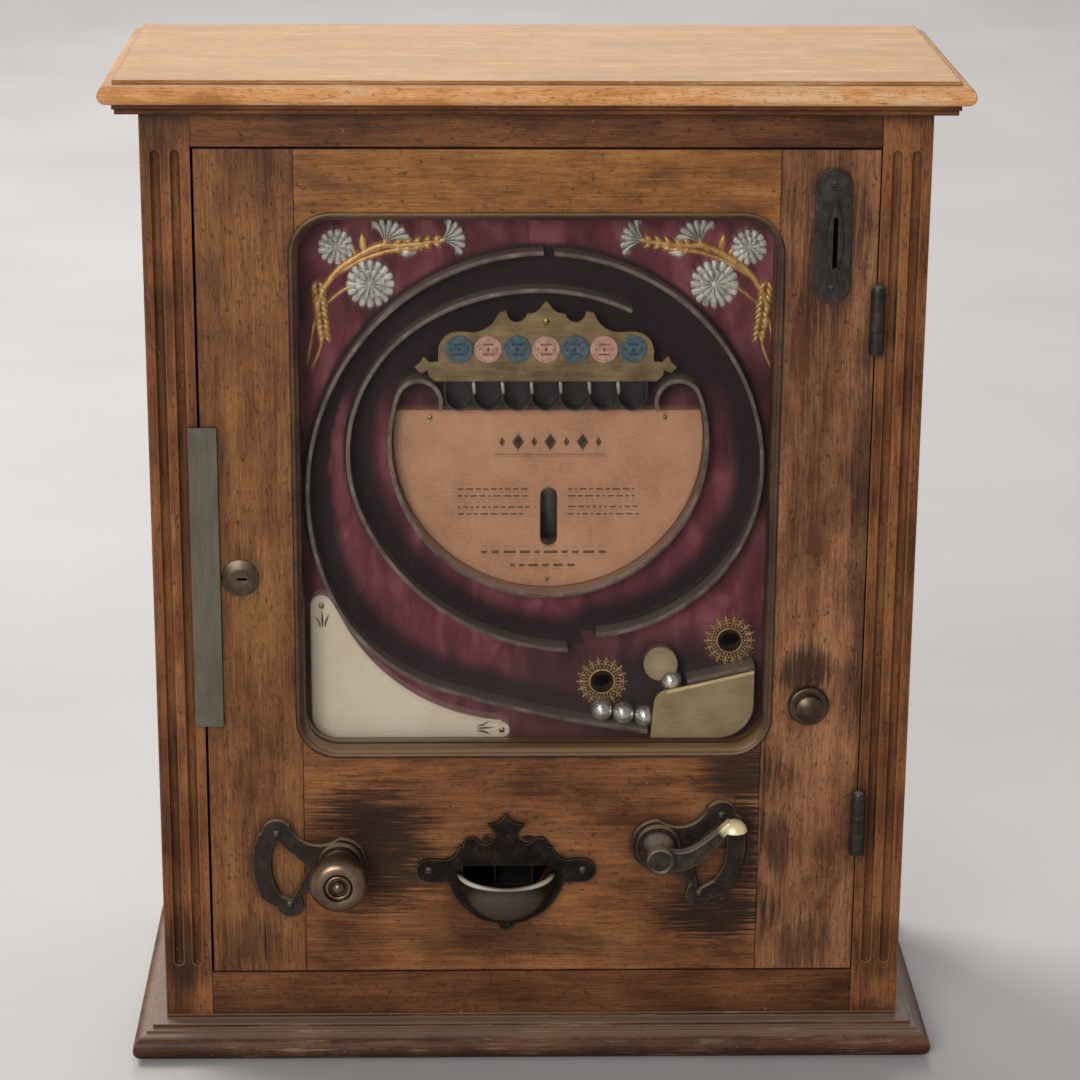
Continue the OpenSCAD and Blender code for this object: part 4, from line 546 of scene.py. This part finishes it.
def trackWear(x, z):
    _, i, far = nearTrack.find((x, z, 0))
    px, pz, heading, side = trackPoints[i]
    h = math.radians(heading)
    inside = ((x - px) * -math.sin(h) + (z - pz) * math.cos(h)) * side > 0
    wear = max(0, 1 - (far / velvetLook["lane"][inside]) ** 2)
    if inside or i >= innerFrom:
        low, rise, most = velvetLook["upper"]
        wear = max(wear, most * clip((z - low) / rise))
    slope = velvetLook["wornSlope"]
    for wornX, wornZ, halfWide, halfHigh, most in velvetLook["worn"]:
        away = math.hypot((x - wornX) / halfWide, (z - wornZ) / halfHigh)
        wear = max(wear, most * clip(slope - slope * away))
    return wear


bm = bmesh.new()
x0, x1, z0, z1 = velvetLook["field"]
countX = round((x1 - x0) / velvetLook["cell"])
countZ = round((z1 - z0) / velvetLook["cell"])
chance = random.Random(velvetLook["seed"])
corners = {}
for i in range(countX + 1):
    for j in range(countZ + 1):
        x, z = x0 + (x1 - x0) * i / countX, z0 + (z1 - z0) * j / countZ
        corners[i, j] = bm.verts.new(onCloth(x, z, -chance.uniform(*velvetLook["sink"])))
slotX, slotZ, slotWide, slotLong = velvetLook["slot"]
for i in range(countX):
    for j in range(countZ):
        x, z = x0 + (i + 0.5) * (x1 - x0) / countX, z0 + (j + 0.5) * (z1 - z0) / countZ
        if any(math.hypot(x - a, z - b) < r for a, b, r in velvetLook["holes"]):
            continue
        if abs(x - slotX) < slotWide / 2 and abs(z - slotZ) < slotLong / 2:
            continue
        bm.faces.new((corners[i, j], corners[i + 1, j], corners[i + 1, j + 1], corners[i, j + 1]))
bmesh.ops.delete(bm, geom=[v for v in bm.verts if not v.link_faces], context="VERTS")
bmesh.ops.recalc_face_normals(bm, faces=bm.faces)
if sum(f.normal.y for f in bm.faces) > 0:
    bmesh.ops.reverse_faces(bm, faces=bm.faces)
bmesh.ops.solidify(bm, geom=bm.faces[:], thickness=velvetLook["thick"] * mm)

velvet, add, shader, coords = newSurface("velvetSilkBrushed", {
    "Sheen Weight": velvetLook["sheen"], "Sheen Roughness": velvetLook["sheenRoughness"],
    "Sheen Tint": toLinear(velvetLook["sheenTone"]), "Specular IOR Level": velvetLook["specular"]})
brushed = drawnNoise(add, coords, *velvetLook["stroke"], {"Detail": 3, "Roughness": 0.55, "Distortion": 0.5})
pile = add("TexNoise", {"Vector": coords, "Scale": perMetre / velvetLook["pile"], "Detail": 2})
lifted = add("MapRange", span(pile, noiseEnds, velvetLook["pileLift"], -velvetLook["pileLift"]))
level = add("Math", {0: brushed, 1: lifted}, operation="ADD")
wine = add("ValToRGB", {"Fac": level}, (velvetLook["stops"], velvetLook["tones"]))
track = add("Attribute", out="Fac", attribute_name="ballTrack")
height = add("SeparateXYZ", {0: coords}, out="Z")
wornTone, *wornLimits = velvetLook["wornCover"]
dustTone, *dustLimits = velvetLook["dustCover"]
linkSockets(shader, {
    "Base Color": layTones(add, wine, [(wornTone, track, *wornLimits), (dustTone, height, *dustLimits)]),
    "Roughness": add("MapRange", span(track, (0, 1), *velvetLook["roughness"])),
    "Normal": add("Bump", {"Height": pile, "Strength": velvetLook["bump"],
                           "Distance": velvetLook["bumpDepth"] * mm})})
cloth = makePiece("velvetCloth", bm, velvet)
wear = cloth.data.attributes.new("ballTrack", "FLOAT", "POINT")
for v in cloth.data.vertices:
    wear.data[v.index].value = trackWear(v.co.x / mm, v.co.z / mm)
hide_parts("playfield_velvet")
print("velvet stretched:", len(cloth.data.polygons), "faces")

# Hard drawn spring wire, close wound: smooth turns with a short leg at each end
springLook = {"places": [(84, 151.4), (-130, 139)], "coil": 6.49, "wire": 0.7, "turns": 4, "pitch": 2.1,
              "leg": 5, "steps": 48, "sides": 10}
springWire = workedMetal("springWireDrawn", dict(
    metallic=1, tones=("#5b5853", "#7d7a74", "#9b9892"), mottle=5, rub=0.6,
    roughness=(0.4, 0.25)))
bm = bmesh.new()
cadPoints = [v.co for v in nodes["return_springs"].data.vertices]
coil, wire, leg, steps = (springLook[k] for k in ("coil", "wire", "leg", "steps"))
for x, z in springLook["places"]:
    start = min(c.y for c in cadPoints if (c.x > 0) == (x > 0)) / mm + wire
    line = []
    for k in range(springLook["turns"] * steps + 1):
        a = fullTurn * k / steps
        line.append(Vector((x + coil * math.cos(a), start + springLook["pitch"] * k / steps,
                            z - coil * math.sin(a))))
    line.insert(0, line[0] + Vector((0, 0, leg)))
    line.append(line[-1] + Vector((0, 0, -leg)))
    rows = []
    for k, p in enumerate(line):
        along = (line[min(k + 1, len(line) - 1)] - line[max(k - 1, 0)]).normalized()
        out = Vector((p.x - x, 0, p.z - z)).normalized()
        side = along.cross(out).normalized()
        out = side.cross(along)
        rows.append([(p + wire * (math.cos(t) * out + math.sin(t) * side)) * mm
                     for t in roundAngles(springLook["sides"])])
    skinRows(bm, rows)
springs = makePiece("coilSprings", bm, springWire)
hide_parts("return_springs")
print("springs wound")


# a round relief: radii and heights by angle, from the middle out and down to the ground
def reliefRound(bm, x, z, angles, radiusAt, heightAt, fractions, depth=velvetDepth):
    rings = [[onCloth(*polar(x, z, f * radiusAt(a, f), a), heightAt(a, f), depth) for a in angles]
             for f in fractions]
    rings.append([onCloth(*polar(x, z, radiusAt(a, 1), a), 0, depth) for a in angles])
    skinRows(bm, rings)


# a leaf with a ridge, from its foot at a heading
def reliefLeaf(bm, x, z, heading, long, wide, high):
    steps = 8
    rows = []
    for k in range(steps + 1):
        u = 0.03 + 0.94 * k / steps  # short of both tips
        half = wide / 2 * math.sin(math.pi * u ** 0.85)
        crest = high * (0.35 + 0.65 * math.sin(math.pi * u))
        section = ((-half, 0), (-half * 0.6, crest * 0.5), (0, crest), (half * 0.6, crest * 0.5), (half, 0))
        rows.append([onCloth(*turned(x, z, heading, long * u, v), h) for v, h in section])
    skinRows(bm, rows)


# a half-round strand along a run, thinner at its ends
def reliefStrand(bm, run, wide, high):
    rows = []
    for k, (x, z, heading) in enumerate(run):
        thin = 0.55 + 0.45 * math.sin(math.pi * (0.08 + 0.84 * k / (len(run) - 1)))
        half = wide / 2 * thin
        rows.append([onCloth(*turned(x, z, heading, 0, half * math.cos(t)), high * thin * math.sin(t))
                     for t in (math.pi * n / 6 for n in range(7))])
    skinRows(bm, rows)


# a smooth line through places, as (x, z, heading)
def smoothRun(places):
    step = 1.6
    line = []
    ends = [places[0]] + places + [places[-1]]
    for four in zip(ends, ends[1:], ends[2:], ends[3:]):
        count = max(2, round(math.dist(four[1], four[2]) / step))
        for u in (k / count for k in range(count)):
            line.append([(2 * b + (c - a) * u + (2 * a - 5 * b + 4 * c - d) * u * u
                          + (3 * b - a - 3 * c + d) * u ** 3) / 2 for a, b, c, d in zip(*four)])
    line.append(list(places[-1]))
    run = []
    for k, (x, z) in enumerate(line):
        a, b = line[max(k - 1, 0)], line[min(k + 1, len(line) - 1)]
        run.append((x, z, math.degrees(math.atan2(b[1] - a[1], b[0] - a[0]))))
    return run


# how deep the notch between two petals is, by the ridge along a petal
def petalNotch(ridge):
    return 1 - min(1, ridge * 1.5) ** 0.6


# Flower sprays, stamped in thin sheet: silvered blooms, gilt stems. The right one mirrors the left.
# Places are mm from the middle of the field and its top.
sprayLook = {
    "middle": 4.8, "top": 584.5,
    "daisies": [(-133.6, -29.4, 11.5, 13), (-111.6, -53.9, 15.7, 16)],  # x, z, radius, petals
    "petalRows": [(1, 0.4, 0, 0), (0.62, 1.3, 4, 0.2)],  # share of the radius, base, fewer petals, turn
    "petalSteps": [0.2, 0.34, 0.5, 0.68, 0.86, 0.96, 1], "knobSteps": [0.15, 0.4, 0.7, 0.92, 1],
    "knob": 0.17, "knobSides": 16, "raySides": 10, "proud": 1.7,
    "trumpets": [(-102.6, -28, 8, 17.6), (-66.4, -25.6, -40, 17)],  # x, z, first ray, length
    "fan": 118, "rays": 6, "raySteps": [0.06, 0.2, 0.36, 0.52, 0.68, 0.82, 0.92, 1],
    "calyx": (3, 9, 4.6, 2),  # back from the trumpet, length, width, height
    "strands": [  # places, width, height
        ([(-143.5, -92), (-146, -78), (-144.8, -63.8), (-133.9, -46.2), (-119.7, -35.8), (-105.5, -28.8),
          (-93.4, -28.6), (-79.3, -27.4), (-66.6, -25.6)], 4.8, 2.2),
        ([(-134, -48.6), (-119, -39), (-104, -33.4), (-93.4, -31.4), (-82, -30.4), (-71, -26.8)], 3.4, 1.7),
        ([(-140, -67), (-128, -57.4), (-117, -54)], 2.2, 1.3),
        ([(-109, -33), (-105, -30), (-102.4, -26.4)], 2.6, 1.5),
        ([(-147, -74), (-150.4, -91), (-153.3, -107.3)], 2.3, 1.3),
        ([(-141.6, -86), (-145.6, -100), (-150.4, -110.6)], 2.3, 1.3)],
    "ears": [((-146, -52), (-141.8, -88), 10), ((-97, -29.6), (-71, -26.4), 5)],  # from, to, pairs of leaves
    "lean": 36, "earLeaf": (9.4, 2, 4.8, 2.4),  # length at the foot, loss to the tip, width, height
    "bloomLeaf": (-94, -33.2, 0, 13.4, 7, 2),  # x, z, heading, length, width, height
    "stemLeaves": [(-115.4, -34, 97, 14, 6.6, 1.7), (-120, -37, 112, 9, 4, 1.4)]}
# on the blooms the dark tone in recesses is painted shade between the petals
silvered = workedMetal("sheetSilveredStamped", dict(
    metallic=0.2, tones=("#8e8f89", "#d3d4cc", "#f6f6f0"), edgeTone="#f8f8f2", grimeAndShade=0.95,
    grimeAndShadeTone="#24201f", mottle=5, rub=0.9, roughness=(0.5, 0.34)))
gilded = workedMetal("sheetGiltStamped", dict(
    metallic=0.35, tones=("#8f6433", "#d8a763", "#f3d39a"), edgeTone="#f8e2b4", grimeAndShade=0.8, edge=0.6,
    mottle=4, rub=0.8, roughness=(0.44, 0.3)))
bloomMesh, stemMesh = bmesh.new(), bmesh.new()
top, proud, fan, rays = (sprayLook[k] for k in ("top", "proud", "fan", "rays"))
for side in (1, -1):
    bloom, stem = bmesh.new(), bmesh.new()
    for dx, dz, radius, petals in sprayLook["daisies"]:
        for share, low, fewer, shift in sprayLook["petalRows"]:
            count = petals - fewer
            angles = roundAngles(count * sprayLook["raySides"], shift)
            ridge = {a: abs(math.cos(count * (a - shift) / 2)) for a in angles}
            reliefRound(
                bloom, dx, top + dz, angles,
                lambda a, f: radius * share * (1 - 0.26 * petalNotch(ridge[a]) * f * f),
                lambda a, f: (low + proud * math.sin(math.pi * min(1, f * 0.8))
                              * (0.2 + 0.8 * ridge[a] ** 0.8)),
                sprayLook["petalSteps"])
        reliefRound(bloom, dx, top + dz, roundAngles(sprayLook["knobSides"]),
                    lambda a, f: radius * sprayLook["knob"], lambda a, f: 1 + 1.6 * math.cos(f * 1.35),
                    sprayLook["knobSteps"])
    for dx, dz, turnFrom, radius in sprayLook["trumpets"]:
        rows = []
        middle = math.radians(turnFrom + fan / 2)
        count = rays * sprayLook["raySides"]
        for f in sprayLook["raySteps"]:
            row = []
            for u in (k / count for k in range(count + 1)):
                a = middle + math.radians(fan * (u - 0.5) * (0.4 + 0.6 * f))
                ridge = abs(math.sin(math.pi * rays * u))
                reach = radius * f * (1 - 0.3 * petalNotch(ridge) * f ** 3)
                high = 0.3 + proud * math.sin(math.pi * (0.15 + 0.6 * f)) * (0.15 + 0.85 * ridge)
                row.append(onCloth(*polar(dx, top + dz, reach, a), high))
            row.append(onCloth(*polar(dx, top + dz, 0.7 * radius * f, middle), 0))
            rows.append(row)
        skinRows(bloom, rows)
        back, *calyx = sprayLook["calyx"]
        reliefLeaf(stem, *polar(dx, top + dz, -back, middle), math.degrees(middle), *calyx)
    x, z, *leaf = sprayLook["bloomLeaf"]
    reliefLeaf(bloom, x, top + z, *leaf)
    for places, wide, high in sprayLook["strands"]:
        reliefStrand(stem, smoothRun([(x, top + z) for x, z in places]), wide, high)
    long, loss, wide, high = sprayLook["earLeaf"]
    for (x0, z0), (x1, z1), count in sprayLook["ears"]:
        heading = math.degrees(math.atan2(z1 - z0, x1 - x0))
        for u in (k / (count - 1) for k in range(count)):
            for lean in (-sprayLook["lean"], sprayLook["lean"]):
                reliefLeaf(stem, x0 + (x1 - x0) * u, top + z0 + (z1 - z0) * u, heading + lean,
                           long - loss * u, wide, high)
    for x, z, *leaf in sprayLook["stemLeaves"]:
        reliefLeaf(stem, x, top + z, *leaf)
    place = Matrix.Translation((sprayLook["middle"] * mm, 0, 0)) @ Matrix.Diagonal((side, 1, 1, 1))
    for part, whole in ((bloom, bloomMesh), (stem, stemMesh)):
        bmesh.ops.transform(part, matrix=place, verts=part.verts)
        mesh = bpy.data.meshes.new("half")
        part.to_mesh(mesh)
        part.free()
        whole.from_mesh(mesh)
        bpy.data.meshes.remove(mesh)
blooms = makePiece("sprayBlooms", bloomMesh, silvered)
stems = makePiece("sprayStems", stemMesh, gilded)
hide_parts("spray_flowers")
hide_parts("spray_stems")
print("sprays stamped")

# Gilt rosettes round the ball holes: a thin rolled rim, a row of beads and pierced petals, rubbed dull
rosetteLook = {
    "places": [(46.7, 255.6), (132.1, 284.7)], "hole": 8, "petals": 18, "beads": 26,
    "rimSides": 64, "beadSides": 10, "beadSteps": [0.2, 0.5, 0.8, 1],
    "rim": [(0, 0), (0, 0.8), (0.4, 1.2), (0.9, 0.9), (1.1, 0.3), (1.1, 0)],  # out from the hole, height
    "rounds": [  # out from the hole, radius, height, how many, turn
        (2.2, 0.8, 1, "beads", 0), (4.3, 0.85, 0.8, "petals", 0.5), (8.6, 0.75, 0.7, "petals", 0),
        (6.6, 0.65, 0.6, "petals", 0.3), (6.6, 0.65, 0.6, "petals", 0.7)],
    "leaf": (2.6, 6.4, 1.9, 0.7)}  # out from the hole, length, width, height
dullGilt = workedMetal("sheetGiltRubbed", dict(
    metallic=0.4, tones=("#8a6e43", "#cdac73", "#efd29a"), edgeTone="#f6dfae", mottle=3, rub=0.8,
    roughness=(0.5, 0.34)))
bm = bmesh.new()
hole = rosetteLook["hole"]
for x, z in rosetteLook["places"]:
    rows = [[onCloth(*polar(x, z, hole + out, a), high) for out, high in rosetteLook["rim"]]
            for a in roundAngles(rosetteLook["rimSides"])]
    skinRows(bm, rows + rows[:1], shut=False)
    for out, size, high, kind, offset in rosetteLook["rounds"]:
        for k in range(rosetteLook[kind]):
            b = fullTurn * (k + offset) / rosetteLook[kind]
            reliefRound(bm, *polar(x, z, hole + out, b), roundAngles(rosetteLook["beadSides"]),
                        lambda t, f: size, lambda t, f: high * math.cos(f * 1.3), rosetteLook["beadSteps"])
    out, *leaf = rosetteLook["leaf"]
    for a in roundAngles(rosetteLook["petals"]):
        reliefLeaf(bm, *polar(x, z, hole + out, a), math.degrees(a), *leaf)
bmesh.ops.remove_doubles(bm, verts=bm.verts, dist=1e-6)
rosettes = makePiece("holeRosettes", bm, dullGilt)
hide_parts("ball_hole_rosettes")
print("rosettes stamped")


# a flat printed or engraved shape, a hair proud of its ground
def printShape(bm, outline, depth, high=0.04):
    skinRows(bm, [[onCloth(x, z, h, depth) for x, z in outline] for h in (0, high)])


def barOutline(x0, x1, z, half):
    return [(x0, z - half), (x1, z - half), (x1, z + half), (x0, z + half)]


def lozengeOutline(x, z, wide, high):
    return [(x - wide, z), (x, z - high), (x + wide, z), (x, z + high)]


# Card print in letterpress ink: rules and word-length dashes, with a row of lozenges for a heading
cardLook = {
    "depth": 33.2, "seed": 11, "middle": 10.6, "headZ": 424, "pitch": 10.6,
    "lozenges": [(4.1, 5.6), (2.2, 3)], "ruleHalf": 37,
    "rules": [(415.6, 0.25), (414.3, 0.15)],  # z, half thickness
    "blocks": [(-50.3, -2.7, (391.6, 386.8, 379.1, 374.3), 1.5),
               (22.5, 70.2, (391.6, 386.8, 379.4, 374.3), 1.5)],
    "feet": [(-35.1, 56.2, 347.8, 2.6), (-15.7, 34.3, 338.6, 2.6)],  # from, to, z, height of a line
    "words": (1.6, 5.2), "wordsHigh": 1.5, "shortest": 1.5, "gap": 1.1, "stroke": 0.36, "ragged": 3}
ink = workedMetal("inkLetterpress", dict(
    tones=("#1d130e", "#2c1f18", "#4a372b"), edgeTone="#2c1f18", mottle=2.2, rub=0.9,
    roughness=(0.8, 0.66)))
bm = bmesh.new()
chance = random.Random(cardLook["seed"])
middle, depth = cardLook["middle"], cardLook["depth"]
for k in range(-3, 4):
    shape = lozengeOutline(middle + k * cardLook["pitch"], cardLook["headZ"], *cardLook["lozenges"][k % 2])
    printShape(bm, shape, depth)
for z, half in cardLook["rules"]:
    printShape(bm, barOutline(middle - cardLook["ruleHalf"], middle + cardLook["ruleHalf"], z, half), depth)
lines = [(x0, x1, z, high) for x0, x1, zs, high in cardLook["blocks"] for z in zs] + cardLook["feet"]
for x0, x1, z, high in lines:
    x, last = x0, x1 - chance.uniform(0, cardLook["ragged"])
    while x < last - cardLook["shortest"] * high:
        long = min(chance.uniform(*cardLook["words"]) * high / cardLook["wordsHigh"], last - x)
        printShape(bm, barOutline(x, x + long, z, high * cardLook["stroke"]), depth)
        x += long + cardLook["gap"] * high
makePiece("cardPrint", bm, ink, smooth=False)

# Engraved sprigs on the pale plate: three bent blades near each pin
sprigLook = {
    "depth": 32.4, "places": [(-141, 295.5, 90), (-37.5, 222.6, 0)], "long": 11.5,
    "blades": [(-1.6, -3.4, 0.8), (0, 0.5, 1), (1.6, 3.6, 0.7)],  # foot, bend aside, share of the length
    "halves": [(0, 0.35), (0.35, 0.75), (0.7, 0.6), (1, 0.1)]}  # share of the way, half width
bm = bmesh.new()
for x, z, heading in sprigLook["places"]:
    for foot, bend, share in sprigLook["blades"]:
        sides = [[], []]
        for u, half in sprigLook["halves"]:
            along = sprigLook["long"] * share * u
            for edge, k in zip(sides, (-1, 1)):
                aside = foot + bend * u * u + k * half
                edge.append(turned(x, z, heading, along, aside))
        printShape(bm, sides[0] + sides[1][::-1], sprigLook["depth"])
makePiece("plateSprigs", bm, ink, smooth=False)

# Token faces: a raised lozenge between two bars and two small lozenges on each disc
tokenLook = {
    "depth": 17.3, "middle": 7, "z": 490.8, "pitch": 18.8, "count": 7, "high": 0.2, "lozenge": (1.3, 1.6),
    "bar": (3.6, 3.3, 0.55),  # half length, distance up and down, half thickness
    "side": (5.4, 0.8, 0.9),  # distance to the sides, half width, half height
    "stamps": [("tokenStampBlue", ("#12242d", "#1d343f", "#2e4c58"), "blue_token"),
               ("tokenStampPink", ("#6b463d", "#85594d", "#a07567"), "pink_token")]}
stampMeshes = [bmesh.new(), bmesh.new()]
halfLong, upDown, barHalf = tokenLook["bar"]
aside, *sideLozenge = tokenLook["side"]
for k in range(tokenLook["count"]):
    x, z = tokenLook["middle"] + (k - (tokenLook["count"] - 1) / 2) * tokenLook["pitch"], tokenLook["z"]
    shapes = [lozengeOutline(x, z, *tokenLook["lozenge"])]
    for up in (-1, 1):
        shapes.append(barOutline(x - halfLong, x + halfLong, z + up * upDown, barHalf))
        shapes.append(lozengeOutline(x + up * aside, z, *sideLozenge))
    for shape in shapes:
        printShape(stampMeshes[k % 2], shape, tokenLook["depth"], tokenLook["high"])
for stampMesh, (name, tones, slot) in zip(stampMeshes, tokenLook["stamps"]):
    finish = workedMetal(name, dict(
        tones=tones, mottle=3, rub=1, roughness=(0.5, 0.34)))
    makePiece(name, stampMesh, finish, smooth=False)
print("card, plate and tokens marked")

# Bent tabs of tinned sheet between the cups, bright on the black
tabLook = {"depth": 20, "middle": 7, "pitch": 18.8, "count": 6, "top": 468.4, "long": 8, "wide": 2.3,
           "lean": 0.7, "taper": 0.35, "thick": 0.35, "bulge": 0.3, "crown": 0.15,
           "steps": (0, 0.2, 0.5, 0.8, 1)}
tinBright = workedMetal("tinnedSheetBright", dict(
    metallic=0.4, tones=("#8d8c86", "#b3b2ab", "#cfcec8"), edgeTone="#dddcd6", mottle=3, rub=0.8,
    roughness=(0.44, 0.3)))
bm = bmesh.new()
for k in range(tabLook["count"]):
    x = tabLook["middle"] + (k - (tabLook["count"] - 1) / 2) * tabLook["pitch"]
    rows = []
    for u in tabLook["steps"]:
        half = tabLook["wide"] / 2 * (1 - tabLook["taper"] * u ** 3)
        middle, z = x + tabLook["lean"] * u * u, tabLook["top"] - tabLook["long"] * u
        proud = tabLook["thick"] + tabLook["bulge"] * math.sin(math.pi * u)
        section = ((-1, 0), (-1, proud), (0, proud + tabLook["crown"]), (1, proud), (1, 0))
        rows.append([onCloth(middle + a * half, z, h, tabLook["depth"]) for a, h in section])
    skinRows(bm, rows)
makePiece("cupTabs", bm, tinBright)

# Bright upper edge of the brass cover: a thin bright sheet laid along it as a painted highlight
coverHighlightLook = {"depth": 17.5, "high": 0.3,
           "outline": [(88.5, 252.5), (147.9, 266.8), (147.9, 268.5), (90, 254.6)]}
brassHighlight = workedMetal("brassEdgePaintedHighlight", dict(
    metallic=0.35, tones=("#cdb87c", "#e9d59a", "#f8e9ba"), mottle=4, rub=0.8,
    roughness=(0.4, 0.26)))
bm = bmesh.new()
printShape(bm, coverHighlightLook["outline"], coverHighlightLook["depth"], coverHighlightLook["high"])
makePiece("coverEdgeHighlight", bm, brassHighlight, smooth=False)

# Round brass pins that hold the card, the plate and the plaque
pinLook = {
    "pins": [  # x, z, depth of the ground, radius
        (-68.6, 441, 33.2, 1.7), (85.8, 441, 33.2, 1.7), (-141.7, 310.5, 32.4, 2.1),
        (-21, 221.4, 32.4, 2.1), (7, 509.2, 18.8, 2.2), (9, 329, 33.2, 1.5)],
    "high": 0.9, "sides": 20, "steps": [0.15, 0.4, 0.65, 0.85, 1]}
pinBrass = workedMetal("brassPinHead", dict(
    metallic=1, tones=("#5e4c2c", "#8d7645", "#b59a5e"), mottle=2, rub=0.6,
    roughness=(0.4, 0.24)))
bm = bmesh.new()
for x, z, depth, radius in pinLook["pins"]:
    reliefRound(bm, x, z, roundAngles(pinLook["sides"]), lambda a, f: radius,
                lambda a, f: pinLook["high"] * math.cos(f * 1.25), pinLook["steps"], depth)
makePiece("fieldPins", bm, pinBrass)
print("tabs, cover edge and pins set")

# Studio: pale floor, a wide light high behind the left shoulder that throws the shadow forward and right,
# a soft front light from the left, one for the far floor and a weak one for the right side
studioLook = {
    "floor": ("#b5b2b0", "#bebbb9"), "cloud": 420, "floorHalf": 15, "roughness": 0.6, "specular": 0.3,
    "surround": "#f6f5f4", "ambient": 0.33, "aim": (0, 0, 0.36),
    "lamps": [  # place, size, power
        ("skyLamp", (-2.2, 1.9, 3.6), 2.2, 155), ("frontLamp", (-1.1, -3.3, 1.5), 1.4, 72),
        ("farLamp", (0, 5.5, 4), 3, 160), ("sideLamp", (3, 0.6, 1.5), 2, 2)]}
bm = bmesh.new()
bmesh.ops.create_grid(bm, x_segments=8, y_segments=8, size=studioLook["floorHalf"])
mesh = bpy.data.meshes.new("studioFloor")
bm.to_mesh(mesh)
bm.free()
floor = bpy.data.objects.new("studioFloor", mesh)
scene.collection.objects.link(floor)
# sealed concrete, pale and faintly clouded
sealed, add, shader, coords = newSurface("concreteSealed", {
    "Roughness": studioLook["roughness"], "Specular IOR Level": studioLook["specular"]})
cloud = add("TexNoise", {"Vector": coords, "Scale": perMetre / studioLook["cloud"], "Detail": 4})
linkSockets(shader, {"Base Color": add("ValToRGB", {"Fac": cloud}, (noiseEnds, studioLook["floor"]))})
mesh.materials.append(sealed)

world = bpy.data.worlds.new("studioSurround")
scene.world = world
world.use_nodes = True
background = world.node_tree.nodes["Background"]
background.inputs["Color"].default_value = toLinear(studioLook["surround"])
background.inputs["Strength"].default_value = studioLook["ambient"]
for name, place, size, power in studioLook["lamps"]:
    lamp = bpy.data.lights.new(name, "AREA")
    lamp.shape = "SQUARE"
    lamp.size = size
    lamp.energy = power
    lampObject = bpy.data.objects.new(name, lamp)
    lampObject.location = place
    aim = Vector(studioLook["aim"]) - Vector(place)
    lampObject.rotation_euler = aim.to_track_quat("-Z", "Y").to_euler()
    scene.collection.objects.link(lampObject)
print("studio lit")
